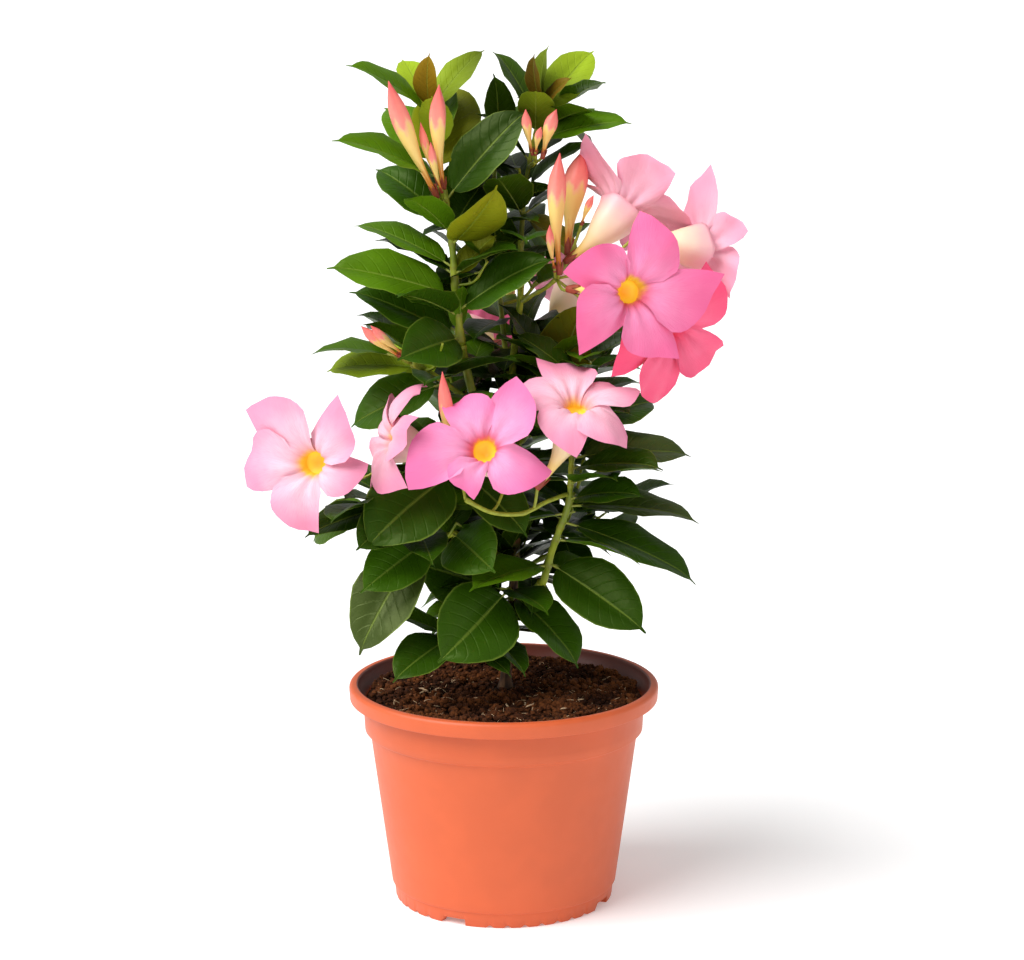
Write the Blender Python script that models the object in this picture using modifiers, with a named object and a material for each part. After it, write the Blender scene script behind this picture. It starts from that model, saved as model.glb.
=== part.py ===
"""Potted mandevilla: a flowering climber kept as a low bush, in its plastic nursery pot.

Lengths are in millimetres here and become metres where meshes are made. +Z is up, -Y is the
front and +X is the viewer's right. The origin is the middle of the pot's flat underside.
Angles of shoots and leaves are degrees: a turn runs round the plant from +X towards +Y, and a
rise is measured up from level.
"""

import math
import random

import bmesh
import bpy
from mathutils import Vector
from mathutils.bvhtree import BVHTree

MM = 0.001
GAP = 0.3
SEED = 11

# Pot, a turned shell with a rolled lip, a collar and a foot ring
RIM_R = 95.0
RIM_Z = 135.0
LIP_TALL = 9.5
LIP_INNER_R = 90.0
COLLAR_TOP_R = 86.5
COLLAR_FOOT_R = 85.5
COLLAR_FOOT_Z = 106.5
BODY_TOP_R = 82.5
BODY_FOOT_R = 69.5
FOOT_TALL = 9.7
FOOT_R = 67.3
FOOT_INNER_R = 62.0
WALL = 1.6
FLOOR = 1.8
CENTRE_R = 40.0
STEP_R = 38.0
RAISED_Z = 4.5
TURN_STEPS = 28
LIP_ROUND = 3.6
NOTCH_DEEP = 14.0
NOTCH_FIRST_TURN = -116.0
NOTCH_SIZE = (14.0, 4.0)

# Soil, which fills the pot
SOIL_Z = 127.0
SOIL_RINGS = (10.0, 26.0, 42.0, 58.0, 73.0)
SOIL_LUMP = 1.6
LEVEL_R = 9.0
LEVEL_FADE = 8.0
STEM_FOOT = (1.0, 12.0)

# Limbs: points of the centre line, and the radius at the foot and at the tip
TRUNK_PATH = [
    (1, 12, SOIL_Z + GAP), (2, 10, 150), (4, 8, 171), (7, 4, 210), (6, 6, 247),
    (4, 8, 290), (5, 8, 318), (7, 10, 345), (10, 10, 369), (10, 10, 392),
]
TRUNK_RADII = (3.3, 1.9)
FLARE_R = 5.2
FLARE_TALL = 11.0

# Sides of the tubes, and the spacing of points along them
TRUNK_SIDES = 8
STEM_SIDES = 6
TWIG_SIDES = 4
TRUNK_SPACING = 13.0
LIMB_SPACING = 10.0
PEDICEL_SPACING = 20.0

# Boughs: the limb each one leaves, the height where it leaves, points, and radii
BOUGHS = {
    "left_leader": ("trunk", 247, [(-5, -2, 277), (-18, -10, 314), (-25, -14, 345)], (2.8, 2.5)),
    "right_bough": ("trunk", 181, [(16, -5, 190), (23, -14, 200)], (2.6, 2.4)),
    "low_left_bough": ("trunk", 210, [(-14, -8, 222), (-29, -18, 231)], (2.2, 1.9)),
}

# Masses: the limb and the height where the stem leaves it (None at the limb's tip), the stem's
# points and radii; then the leaf rule: pairs, first turn, rises and lengths from foot to tip,
# and the number, first turn and length of the side twigs
MASSES = {
    "crown_left": dict(
        on="left_leader", height=None, radii=(2.5, 1.1),
        stem=[(-28, -14, 372), (-30, -12, 401), (-34, -8, 431), (-40, -5, 460), (-44, -2, 486)],
        pairs=6, turn=60, rise=(10, 60), length=(60, 42), twigs=0, twig_turn=0, twig=0,
    ),
    "crown_right": dict(
        on="trunk", height=None, radii=(1.8, 1.0),
        stem=[(12, 12, 429), (17, 12, 459), (23, 10, 485)],
        pairs=6, turn=100, rise=(5, 55), length=(58, 38), twigs=0, twig_turn=0, twig=0,
    ),
    "crown_back": dict(
        on="trunk", height=306, radii=(1.9, 1.0),
        stem=[(4, 22, 314), (0, 27, 345), (-4, 28, 390), (-6, 27, 430), (-4, 24, 462)],
        pairs=9, turn=90, rise=(-5, 50), length=(66, 46), twigs=2, twig_turn=40, twig=40,
    ),
    "mid_back_right": dict(
        on="trunk", height=280, radii=(1.8, 1.1),
        stem=[(20, 24, 290), (38, 36, 305), (52, 42, 330)],
        pairs=5, turn=40, rise=(-5, 35), length=(60, 50), twigs=1, twig_turn=100, twig=34,
    ),
    "low_back": dict(
        on="trunk", height=226, radii=(1.8, 1.1),
        stem=[(4, 30, 236), (2, 50, 247), (0, 62, 264)],
        pairs=3, turn=0, rise=(-20, 20), length=(62, 56), twigs=1, twig_turn=90, twig=34,
    ),
    "mid_left": dict(
        on="left_leader", height=314, radii=(1.7, 1.1),
        stem=[(-38, -20, 326), (-52, -26, 335), (-64, -28, 341)],
        pairs=4, turn=90, rise=(0, 20), length=(56, 50), twigs=1, twig_turn=120, twig=30,
    ),
    "mid_front": dict(
        on="left_leader", height=266, radii=(1.7, 1.3),
        stem=[(-16, -18, 270), (-30, -34, 272)],
        pairs=3, turn=0, rise=(10, 20), length=(54, 50), twigs=0, twig_turn=0, twig=0,
    ),
    "mid_right": dict(
        on="trunk", height=296, radii=(1.7, 1.1),
        stem=[(25, 0, 307), (43, -2, 319), (50, 0, 332)],
        pairs=5, turn=0, rise=(-10, 25), length=(58, 50), twigs=1, twig_turn=40, twig=34,
    ),
    "mid_back_left": dict(
        on="trunk", height=262, radii=(1.8, 1.1),
        stem=[(-8, 26, 272), (-24, 44, 290), (-34, 54, 318)],
        pairs=5, turn=90, rise=(0, 35), length=(60, 50), twigs=2, twig_turn=150, twig=36,
    ),
    "low_left": dict(
        on="low_left_bough", height=None, radii=(1.8, 1.1),
        stem=[(-46, -26, 229), (-62, -34, 246), (-79, -38, 253)],
        pairs=4, turn=0, rise=(-10, 15), length=(58, 50), twigs=1, twig_turn=140, twig=30,
    ),
    "low_right": dict(
        on="right_bough", height=None, radii=(2.4, 1.2),
        stem=[(28, -20, 218), (34, -26, 237), (39, -30, 254), (41, -28, 284), (45, -20, 301)],
        pairs=6, turn=40, rise=(-15, 20), length=(62, 52), twigs=1, twig_turn=60, twig=34,
    ),
    "low_middle": dict(
        on="trunk", height=188, radii=(1.9, 1.4),
        stem=[(4, -6, 192), (3, -14, 196)],
        pairs=2, turn=-90, rise=(-20, -5), length=(56, 52), twigs=0, twig_turn=0, twig=0,
    ),
    "low_front": dict(
        on="trunk", height=166, radii=(1.7, 1.1),
        stem=[(-7, -8, 171), (-20, -18, 171), (-32, -26, 169)],
        pairs=3, turn=0, rise=(-5, -10), length=(46, 46), twigs=0, twig_turn=0, twig=0,
    ),
    "low_back_left": dict(
        on="trunk", height=200, radii=(1.8, 1.1),
        stem=[(-14, 24, 210), (-34, 38, 222), (-50, 46, 242)],
        pairs=4, turn=90, rise=(-20, 20), length=(64, 56), twigs=2, twig_turn=170, twig=36,
    ),
    "low_back_right": dict(
        on="trunk", height=194, radii=(1.8, 1.1),
        stem=[(18, 26, 203), (38, 36, 213), (54, 42, 232)],
        pairs=4, turn=0, rise=(-20, 20), length=(64, 56), twigs=1, twig_turn=0, twig=36,
    ),
}

# Leaves whose attitude shows: place along the stem, turn, rise, roll, length and width
POSED = {
    "crown_left": [
        (0.02, -180, 25, -35, 72, 34), (0.05, 150, 20, -40, 60, 30), (0.03, -125, -5, -50, 60, 34),
        (0.14, -20, 30, 50, 69, 32), (0.20, -170, 15, -40, 79, 36), (0.28, 15, 45, 30, 36, 20),
        (0.32, 155, 20, -15, 72, 28), (0.42, -50, 40, 170, 56, 34), (0.50, 145, 30, -30, 64, 32),
        (0.60, 5, 48, 50, 73, 34), (0.68, -155, 22, -30, 74, 30), (0.70, 65, 46, 10, 66, 36),
        (0.75, 135, 35, -30, 58, 30), (0.96, -150, 30, -35, 62, 24),
        (0.97, 30, 45, 30, 52, 20), (0.98, -90, 75, 150, 34, 17),
    ],
    "crown_right": [
        (0.29, 20, -40, 40, 50, 28), (0.77, -12, 12, 30, 60, 26), (0.87, 135, 50, 5, 58, 24),
        (0.93, 40, 42, 40, 58, 26), (0.98, -120, 72, 160, 34, 14), (0.99, -25, 44, 50, 26, 12),
    ],
    "mid_left": [
        (0.35, 168, -25, -50, 66, 34), (0.45, 125, 15, -30, 58, 28), (0.68, 165, 0, -35, 60, 28),
    ],
    "mid_front": [(0.80, -35, -35, 30, 58, 34), (0.98, -135, -35, -50, 68, 44)],
    "mid_right": [(0.45, 20, 70, -100, 64, 36)],
    "low_left": [
        (0.03, -60, -15, 45, 50, 32), (0.27, -135, -22, -45, 60, 34), (0.33, -150, -55, -35, 80, 42),
        (0.75, -115, -15, -45, 48, 28), (0.88, -150, -12, -25, 52, 26), (0.97, 150, -30, -50, 52, 28),
    ],
    "low_right": [
        (0.14, -33, -26, 40, 76, 40), (0.41, -10, -22, 20, 88, 34), (0.51, -5, -5, 15, 79, 32),
        (0.55, -40, 10, 30, 56, 26), (0.72, -40, 8, 20, 68, 32), (0.78, 12, 0, 25, 74, 34),
        (0.96, 35, 10, 30, 60, 32),
    ],
    "low_middle": [(0.55, -35, -42, 10, 64, 36), (0.97, -132, -28, -50, 70, 44)],
    "low_front": [(0.97, -132, -18, -25, 54, 30)],
}

# The leaf rule: turn from pair to pair, spreads of turn, rise, roll and length, and a leaf's slimness
PAIR_STEP = 90.0
TURN_SPREAD = 12.0
RISE_SPREAD = 8.0
ROLL_SPREAD = 15.0
LENGTH_SPREAD = (0.88, 1.08)
LEAF_SLIM = 0.52
STEM_SPAN = (0.12, 0.98)
# The twig rule: where twigs leave the stem, the turn from twig to twig, radii and places of leaves
TWIG_SPAN = (0.25, 0.85)
TWIG_STEP = 137.5
TWIG_SPREAD = 15.0
TWIG_RADII = (1.1, 0.9)
TWIG_RISES = (15.0, 55.0)
TWIG_PLACES = (0.6, 0.97)
# Ways that a leaf of the rule is swung until it lies clear, as steps of turn and of rise
SWINGS = [
    (0, 0), (18, 12), (-18, 12), (0, 25), (30, -12), (-30, -12), (0, -25), (50, 10), (-50, 10), (25, 38),
    (-25, 38), (75, 0), (-75, 0),
]
# Leaf sections from root to tip: place, and part of the half width (None in the leaf's own stalk),
# for the leaves that show and for the leaves of the rule
LEAF_STATIONS = ((0.0, None), (0.11, None), (0.28, 0.80), (0.56, 1.0), (0.85, 0.46))
RULE_STATIONS = ((0.0, None), (0.12, None), (0.38, 0.98), (0.79, 0.66))
PETIOLE_R = 0.8
LEAF_THICK = 0.022
LEAF_FOLD = 0.24
LEAF_BEND = 22.0
LEAF_CLEAR = 0.45

# Trusses: the limb or stem each one leaves, the height where it leaves, the stalk's points, then
# flowers as base, throat, turn and rise of the face, radius, spin; then buds as foot, tip, radius
TRUSSES = {
    "blooms_right": dict(
        on="trunk", height=369, stalk=[(18, -2, 374), (25, -12, 379), (31, -18, 385)],
        flowers=[
            ((37, -14, 395), (77, -2, 434), 20, 42, 44, 20),
            ((89, -22, 413), (120, -34, 411), -15, 15, 45, 30),
            ((38, -44, 382), (77, -86, 388), -68, 5, 44, 70),
            ((90, -6, 356), (108, -46, 350), -60, -15, 43, 25),
        ],
        buds=[
            ((33, -23, 389), (33, -20, 459), 5.6), ((38, -8, 399), (47, 4, 459), 7.4),
            ((30, -26, 391), (27, -30, 418), 2.4),
        ],
    ),
    "blooms_front": dict(
        on="low_right", height=258, stalk=[(24, -46, 256), (11, -58, 252), (-7, -64, 254), (-22, -66, 262)],
        flowers=[
            ((20, -54, 267), (44, -66, 323), -80, 48, 40, 55),
            ((0, -50, 264), (-14, -88, 295), -98, 30, 44, 52),
        ],
        buds=[((-24, -62, 275), (-35, -66, 337), 4.2)],
    ),
    "blooms_left": dict(
        on="left_leader", height=300, stalk=[(-26, -20, 302), (-42, -30, 298), (-60, -34, 288)],
        flowers=[
            ((-40, -46, 278), (-67, -62, 297), -160, 15, 40, 20),
            ((-93, -38, 266), (-118, -76, 285), -113, 5, 44, 56),
        ],
        buds=[],
    ),
    "blooms_back": dict(
        on="trunk", height=335, stalk=[(16, 28, 338), (18, 46, 342), (10, 62, 340)],
        flowers=[
            ((24, 58, 348), (46, 92, 366), 62, 26, 38, 10),
            ((0, 66, 334), (-22, 96, 336), 112, 6, 39, 40),
        ],
        buds=[((8, 66, 346), (2, 84, 396), 5.0)],
    ),
    "buds_top_left": dict(
        on="crown_left", height=429, stalk=[(-36, -19, 431)],
        flowers=[],
        buds=[
            ((-39, -23, 434), (-66, -34, 501), 5.8), ((-35, -21, 439), (-37, -30, 499), 5.0),
            ((-38, -20, 441), (-48, -26, 477), 2.6), ((-36, -23, 437), (-42, -33, 466), 2.4),
        ],
    ),
    "buds_top_right": dict(
        on="crown_right", height=449, stalk=[(19, -4, 453)],
        flowers=[],
        buds=[
            ((17, -8, 458), (13, -14, 484), 3.0), ((23, -9, 456), (31, -16, 484), 4.0),
            ((19, -10, 458), (22, -18, 474), 2.2),
        ],
    ),
    "buds_left": dict(
        on="mid_left", height=333, stalk=[(-54, -33, 337)],
        flowers=[],
        buds=[((-60, -36, 341), (-83, -40, 354), 3.2), ((-58, -38, 343), (-75, -46, 355), 2.8)],
    ),
}
STALK_R = 1.3
PEDICEL_R = 0.9
# Flower rings: place along the axis from base to throat, and radius
TUBE_RINGS = ((0.04, 1.7), (0.50, 4.2), (1.0, 11.0))
PETALS = 5
# Points of a petal's edge: part of the petal's angle, part of the flower's radius, set back
PETAL_EDGE = ((0.0, 0.60, 0.02), (0.34, 0.93, 0.0), (0.68, 1.0, 0.07))
PETAL_LIFT = 1.4
PETAL_THICK = 2.2
# Bud rings: place from foot to tip, and part of the bud's radius
BUD_RINGS = ((0.0, 0.20), (0.25, 0.34), (0.52, 0.86), (0.74, 0.92), (1.0, 0.05))

# Node colours, as linear red, green and blue, and roughness
LOOKS = {
    "pot": ((0.60, 0.16, 0.07), 0.50),
    "soil": ((0.055, 0.025, 0.014), 0.95),
    "trunk": ((0.09, 0.05, 0.03), 0.80),
    "left_leader": ((0.16, 0.20, 0.04), 0.60),
    "right_bough": ((0.25, 0.22, 0.06), 0.60),
    "low_left_bough": ((0.14, 0.14, 0.04), 0.60),
}
LEAF_LOOK = ((0.035, 0.12, 0.02), 0.35)
BLOOM_LOOK = ((0.85, 0.28, 0.42), 0.50)


def clear_scene():
    for obj in list(bpy.data.objects):
        bpy.data.objects.remove(obj, do_unlink=True)


def new_collection(name):
    collection = bpy.data.collections.new(name)
    bpy.context.scene.collection.children.link(collection)
    return collection


def material(name, colour, roughness):
    made = bpy.data.materials.new(name)
    made.use_nodes = True
    shader = made.node_tree.nodes["Principled BSDF"]
    shader.inputs["Base Color"].default_value = (*colour, 1.0)
    shader.inputs["Roughness"].default_value = roughness
    shader.inputs["Metallic"].default_value = 0.0
    return made


def new_object(name, data, collection):
    obj = bpy.data.objects.new(name, data)
    collection.objects.link(obj)
    return obj


def solid(name, points, faces, collection):
    """A mesh object from points in millimetres."""
    mesh = bpy.data.meshes.new(name)
    mesh.from_pydata([Vector(p) * MM for p in points], [], faces)
    return new_object(name, mesh, collection)


def evaluated_mesh(obj):
    """A new mesh of the object with its modifiers or bevel applied."""
    depsgraph = bpy.context.evaluated_depsgraph_get()
    return bpy.data.meshes.new_from_object(obj.evaluated_get(depsgraph))


def apply_modifiers(obj):
    mesh = evaluated_mesh(obj)
    obj.modifiers.clear()
    obj.data = mesh


def turned(name, profile, steps, collection):
    """A turned solid: the outline in radius and height, run down its outer side, under a Screw."""
    mesh = bpy.data.meshes.new(name)
    points = [(r * MM, 0.0, z * MM) for r, z in profile]
    mesh.from_pydata(points, [(i, i + 1) for i in range(len(points) - 1)], [])
    obj = new_object(name, mesh, collection)
    screw = obj.modifiers.new("turn", "SCREW")
    screw.steps = steps
    screw.render_steps = steps
    screw.use_merge_vertices = True
    screw.merge_threshold = 0.00001
    screw.use_smooth_shade = False
    return obj


def wall_r(z):
    """Outer radius of the pot's body at a height."""
    part = (z - FOOT_TALL) / (COLLAR_FOOT_Z - FOOT_TALL)
    return BODY_FOOT_R + (BODY_TOP_R - BODY_FOOT_R) * part


def make_pot(parts):
    lip_z = RIM_Z - LIP_TALL
    inside_z = RAISED_Z + FLOOR
    profile = [
        (0.0, FLOOR), (STEP_R, FLOOR), (STEP_R + 1.0, inside_z), (wall_r(inside_z) - WALL - 1.5, inside_z),
        (BODY_TOP_R - WALL, COLLAR_FOOT_Z - 2.0), (COLLAR_FOOT_R - WALL, COLLAR_FOOT_Z + 1.0),
        (COLLAR_TOP_R - WALL, lip_z - 1.0), (LIP_INNER_R - 1.0, RIM_Z - 0.7 * LIP_ROUND),
        (LIP_INNER_R + 1.6, RIM_Z), (RIM_R - 1.6, RIM_Z - 0.1 * LIP_ROUND), (RIM_R, RIM_Z - LIP_ROUND),
        (RIM_R - 0.6, lip_z), (COLLAR_TOP_R, lip_z),
        (COLLAR_FOOT_R, COLLAR_FOOT_Z), (BODY_TOP_R, COLLAR_FOOT_Z - 1.6), (BODY_FOOT_R, FOOT_TALL),
        (BODY_FOOT_R - 1.4, FOOT_TALL - 0.6), (FOOT_R, 0.0), (FOOT_INNER_R, 0.0),
        (FOOT_INNER_R, RAISED_Z), (CENTRE_R + 1.0, RAISED_Z), (CENTRE_R, 0.0), (0.0, 0.0),
    ]
    return turned("pot", profile, TURN_STEPS, parts)


def cut_notches(pot, cutters):
    """Cuts a drain notch through the pot's foot ring in each quarter."""
    for quarter in range(4):
        notch(*NOTCH_SIZE, NOTCH_FIRST_TURN + 90.0 * quarter, cutters)
    cut = pot.modifiers.new("foot notches", "BOOLEAN")
    cut.operation = "DIFFERENCE"
    cut.operand_type = "COLLECTION"
    cut.collection = cutters
    cut.solver = "EXACT"


def notch(wide, tall, turn, cutters):
    """A cutter through the foot ring at a turn round the pot."""
    middle_r = (FOOT_INNER_R + FOOT_R) / 2.0
    bpy.ops.mesh.primitive_cube_add(size=1.0)
    cutter = bpy.context.object
    cutter.name = "notch_cutter"
    cutter.scale = (NOTCH_DEEP * MM, wide * MM, 2.0 * tall * MM)
    angle = math.radians(turn)
    cutter.rotation_euler = (0.0, 0.0, angle)
    cutter.location = (middle_r * MM * math.cos(angle), middle_r * MM * math.sin(angle), 0.0)
    cutter.display_type = "WIRE"
    cutter.hide_render = True
    for collection in cutter.users_collection:
        collection.objects.unlink(cutter)
    cutters.objects.link(cutter)


def lump(x, y):
    """Height of the soil's lumps, none round the stem's foot."""
    waves = math.sin(0.11 * x + 1.3) * math.cos(0.13 * y) + 0.6 * math.sin(0.23 * x - 0.19 * y)
    from_stem = math.hypot(x - STEM_FOOT[0], y - STEM_FOOT[1])
    fade = min(1.0, max(0.0, (from_stem - LEVEL_R) / LEVEL_FADE))
    return SOIL_LUMP * waves * fade


def make_soil(parts):
    inside_z = RAISED_Z + FLOOR + GAP
    top_r = COLLAR_TOP_R - WALL - GAP - 0.4
    profile = [(0.0, SOIL_Z)]
    profile += [(r, SOIL_Z) for r in SOIL_RINGS]
    profile += [
        (top_r, SOIL_Z - 2.0), (COLLAR_FOOT_R - WALL - GAP, COLLAR_FOOT_Z + 1.4),
        (BODY_TOP_R - WALL - 2.0 * GAP, COLLAR_FOOT_Z - 2.0),
        (wall_r(inside_z) - WALL - 1.5 - 2.0 * GAP, inside_z), (STEP_R + 0.6, inside_z),
        (STEP_R - 0.4, FLOOR + GAP), (0.0, FLOOR + GAP),
    ]
    soil = turned("soil", profile, TURN_STEPS, parts)
    apply_modifiers(soil)
    for vertex in soil.data.vertices:
        x, y, z = vertex.co / MM
        if z > SOIL_Z - 0.5:
            vertex.co.z += MM * lump(x, y)
    return soil


def smooth_path(points, step=LIMB_SPACING):
    """A Catmull-Rom curve through the points, sampled about every step millimetres."""
    points = [Vector(p) for p in points]
    ends = [2.0 * points[0] - points[1]] + points + [2.0 * points[-1] - points[-2]]
    path = []
    for a, b, c, d in zip(ends, ends[1:], ends[2:], ends[3:]):
        count = max(1, round((c - b).length / step))
        for i in range(count):
            t = i / count
            path.append(
                0.5 * (2.0 * b + (c - a) * t + (2.0 * a - 5.0 * b + 4.0 * c - d) * t * t
                       + (3.0 * b - a - 3.0 * c + d) * t ** 3)
            )
    return path + [points[-1]]


def mix(pair, t):
    return pair[0] + (pair[1] - pair[0]) * t


class Limb:
    """A tapering limb: its centre line and the radius along it."""

    def __init__(self, path, radii):
        self.path = path
        self.radii = radii
        reach = [0.0]
        for a, b in zip(path, path[1:]):
            reach.append(reach[-1] + (b - a).length)
        self.parts = [r / reach[-1] for r in reach]

    def radius(self, t):
        return mix(self.radii, t)

    def at(self, t):
        """Point and direction at a part of the length."""
        for i in range(len(self.path) - 1):
            if t <= self.parts[i + 1] or i == len(self.path) - 2:
                a, b = self.path[i], self.path[i + 1]
                part = (t - self.parts[i]) / (self.parts[i + 1] - self.parts[i])
                return a.lerp(b, part), (b - a).normalized()

    def part_at_height(self, z):
        for i in range(len(self.path) - 1):
            a, b = self.path[i].z, self.path[i + 1].z
            if a <= z <= b:
                return mix((self.parts[i], self.parts[i + 1]), (z - a) / (b - a))
        raise ValueError("no point of the limb is at this height")


def leave(parent, height, points, foot_r):
    """The centre line of a limb that leaves its parent's side, or its tip when height is None."""
    if height is None:
        tip, along = parent.at(1.0)
        return [tip + along * GAP, tip + along * (GAP + foot_r)] + [Vector(p) for p in points]
    t = parent.part_at_height(height)
    start, along = parent.at(t)
    out = Vector(points[0]) - start
    out = (out - out.dot(along) * along).normalized()
    foot = start + out * (parent.radius(t) + GAP + 0.15)
    return [foot, foot + out * foot_r * 1.2] + [Vector(p) for p in points]


def tube(name, path, radii, sides, collection):
    """A closed round bar along the path, from a bevelled curve whose caps are welded."""
    curve = bpy.data.curves.new(name, "CURVE")
    curve.dimensions = "3D"
    curve.bevel_depth = MM
    curve.bevel_resolution = (sides - 4) // 2
    curve.use_fill_caps = True
    line = curve.splines.new("POLY")
    line.points.add(len(path) - 1)
    for point, place, radius in zip(line.points, path, radii):
        point.co = (*(place * MM), 1.0)
        point.radius = radius
    drawn = new_object(name + "_curve", curve, collection)
    bpy.context.view_layer.update()
    mesh = evaluated_mesh(drawn)
    work = bmesh.new()
    work.from_mesh(mesh)
    bmesh.ops.remove_doubles(work, verts=work.verts, dist=0.000005)
    work.to_mesh(mesh)
    work.free()
    mesh.name = name
    bpy.data.objects.remove(drawn, do_unlink=True)
    bpy.data.curves.remove(curve)
    return new_object(name, mesh, collection)


def limb_solid(name, limb, sides, collection):
    return tube(name, limb.path, [limb.radius(t) for t in limb.parts], sides, collection)


def make_trunk(parts):
    """The main stem, with a flare where it meets the soil."""
    limb = Limb(smooth_path(TRUNK_PATH, TRUNK_SPACING), TRUNK_RADII)
    path = [limb.path[0]]
    path += [limb.path[0].lerp(limb.at(limb.part_at_height(SOIL_Z + FLARE_TALL))[0], k) for k in (0.3, 0.65)]
    path += [p for p in limb.path if p.z > SOIL_Z + FLARE_TALL]
    radii = []
    for p in path:
        low = max(0.0, 1.0 - (p.z - SOIL_Z - GAP) / FLARE_TALL)
        radii.append(limb.radius(limb.part_at_height(p.z)) + (FLARE_R - TRUNK_RADII[0]) * low * low)
    trunk = tube("trunk", path, radii, TRUNK_SIDES, parts)
    for vertex in trunk.data.vertices:
        if vertex.co.z < (SOIL_Z + 2.0) * MM:
            vertex.co.z = (SOIL_Z + GAP) * MM
    return trunk, limb


def direction(turn, rise):
    turn, rise = math.radians(turn), math.radians(rise)
    return Vector((math.cos(rise) * math.cos(turn), math.cos(rise) * math.sin(turn), math.sin(rise)))


def leaf_frame(turn, rise, roll):
    """Directions along the leaf, across it and out of its upper face."""
    along = direction(turn, rise)
    upright = (Vector((0.0, 0.0, 1.0)) - along.z * along).normalized()
    across = along.cross(upright)
    angle = math.radians(roll)
    face = math.cos(angle) * upright + math.sin(angle) * across
    return along, face.cross(along), face


def leaf_solid(root, turn, rise, roll, length, width, stations, clearance=0.0):
    """Points and faces of a leaf: diamond sections on a bent midrib, closed in a point.

    The midrib turns evenly through LEAF_BEND from root to tip, away from the upper face, and the
    edges are raised over it by LEAF_FOLD of the half width.
    """
    along, across, face = leaf_frame(turn, rise, roll)
    bend = math.radians(LEAF_BEND)

    def midrib(u):
        ahead = (math.sin(bend / 2.0) - math.sin(bend * (0.5 - u))) / bend
        over = (math.cos(bend * (0.5 - u)) - math.cos(bend / 2.0)) / bend
        return root + length * (along * ahead + face * over)

    points = []
    for u, part in stations:
        half = PETIOLE_R if part is None else part * width / 2.0
        thick = PETIOLE_R if part is None else LEAF_THICK * length * (0.5 if part > 0.5 else 0.35)
        fold = 0.0 if part is None else LEAF_FOLD * half
        middle = midrib(u)
        half += clearance
        thick += clearance
        points += [
            middle - across * half + face * fold, middle + face * thick,
            middle + across * half + face * fold, middle - face * thick,
        ]
    tip = len(points)
    points.append(midrib(1.0) + along * clearance)
    faces = [(3, 2, 1, 0)]
    for i in range(0, tip - 4, 4):
        faces += [(i + k, i + (k + 1) % 4, i + 4 + (k + 1) % 4, i + 4 + k) for k in range(4)]
    faces += [(tip - 4 + k, tip - 4 + (k + 1) % 4, tip) for k in range(4)]
    return points, faces


def ball(points):
    """Middle and radius of a ball that holds the points."""
    middle = sum((Vector(p) for p in points), Vector()) / len(points)
    return middle, max((Vector(p) - middle).length for p in points)


def shape_of(obj):
    """Points in millimetres and faces of an object with its modifiers."""
    mesh = evaluated_mesh(obj)
    shape = [v.co / MM for v in mesh.vertices], [tuple(p.vertices) for p in mesh.polygons]
    bpy.data.meshes.remove(mesh)
    return shape


class Room:
    """The pieces placed so far, each with a search tree, so that a new piece can be kept clear."""

    def __init__(self):
        self.pieces = []

    def add(self, node, points, faces):
        self.pieces.append((node, *ball(points), BVHTree.FromPolygons(points, faces)))

    def add_object(self, node, obj):
        self.add(node, *shape_of(obj))

    def is_clear(self, points, faces, own=None):
        """True when the piece crosses nothing, the pieces of the node named own left aside."""
        middle, reach = ball(points)
        tree = BVHTree.FromPolygons(points, faces)
        for node, at, size, other in self.pieces:
            if node != own and (at - middle).length < size + reach and tree.overlap(other):
                return False
        return True


def place_leaf(room, node, root, attitude, stations, found):
    """Adds the leaf to found when it lies clear of everything, its own stem only by its blade."""
    whole = leaf_solid(root, *attitude, stations, LEAF_CLEAR)
    blade = leaf_solid(root, *attitude, stations[1:], LEAF_CLEAR)
    if not (room.is_clear(*whole, own=node) and room.is_clear(*blade)):
        return False
    room.add(node, *leaf_solid(root, *attitude, stations[1:]))
    found.append(leaf_solid(root, *attitude, stations))
    return True


def leaf_rule(mass, turn, places, seed):
    """The rule's leaves along a limb, as place and attitude: opposite pairs, each turned on."""
    rng = random.Random(seed)
    for i, t in enumerate(places):
        for side in range(2):
            spread = rng.uniform(-TURN_SPREAD, TURN_SPREAD)
            rise = mix(mass["rise"], t) + rng.uniform(-RISE_SPREAD, RISE_SPREAD)
            roll = rng.uniform(-ROLL_SPREAD, ROLL_SPREAD)
            length = mix(mass["length"], t) * rng.uniform(*LENGTH_SPREAD)
            yield t, (turn + PAIR_STEP * i + 180.0 * side + spread, rise, roll, length, LEAF_SLIM * length)


def twig_rule(mass, seed):
    """The side twigs of a mass, as place on its stem and turn."""
    rng = random.Random(seed)
    for k in range(mass["twigs"]):
        t = mix(TWIG_SPAN, (k + 0.5) / mass["twigs"])
        yield t, mass["twig_turn"] + TWIG_STEP * k + rng.uniform(-TWIG_SPREAD, TWIG_SPREAD)


def grow_leaves(room, node, limb, leaves, found):
    """Leaves of the rule, each swung until it lies clear, or else skipped."""
    for t, (turn, rise, *rest) in leaves:
        for swing, lift in SWINGS:
            attitude = (turn + swing, rise + lift, *rest)
            if place_leaf(room, node, limb.at(t)[0], attitude, RULE_STATIONS, found):
                break


def twig_path(stem, t, turn, length):
    """A side twig that leaves the stem low and curves up."""
    foot = stem.at(t)[0]
    low, steep = (direction(turn, rise) for rise in TWIG_RISES)
    knee = foot + 0.45 * length * low
    return [foot, knee, knee + 0.55 * length * steep]


def petal_edge():
    """Angle, part of the radius and set-back of the points round the flower's edge."""
    for petal in range(PETALS):
        for part, reach, back in PETAL_EDGE:
            yield 2.0 * math.pi * (petal + part) / PETALS, reach, back


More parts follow.
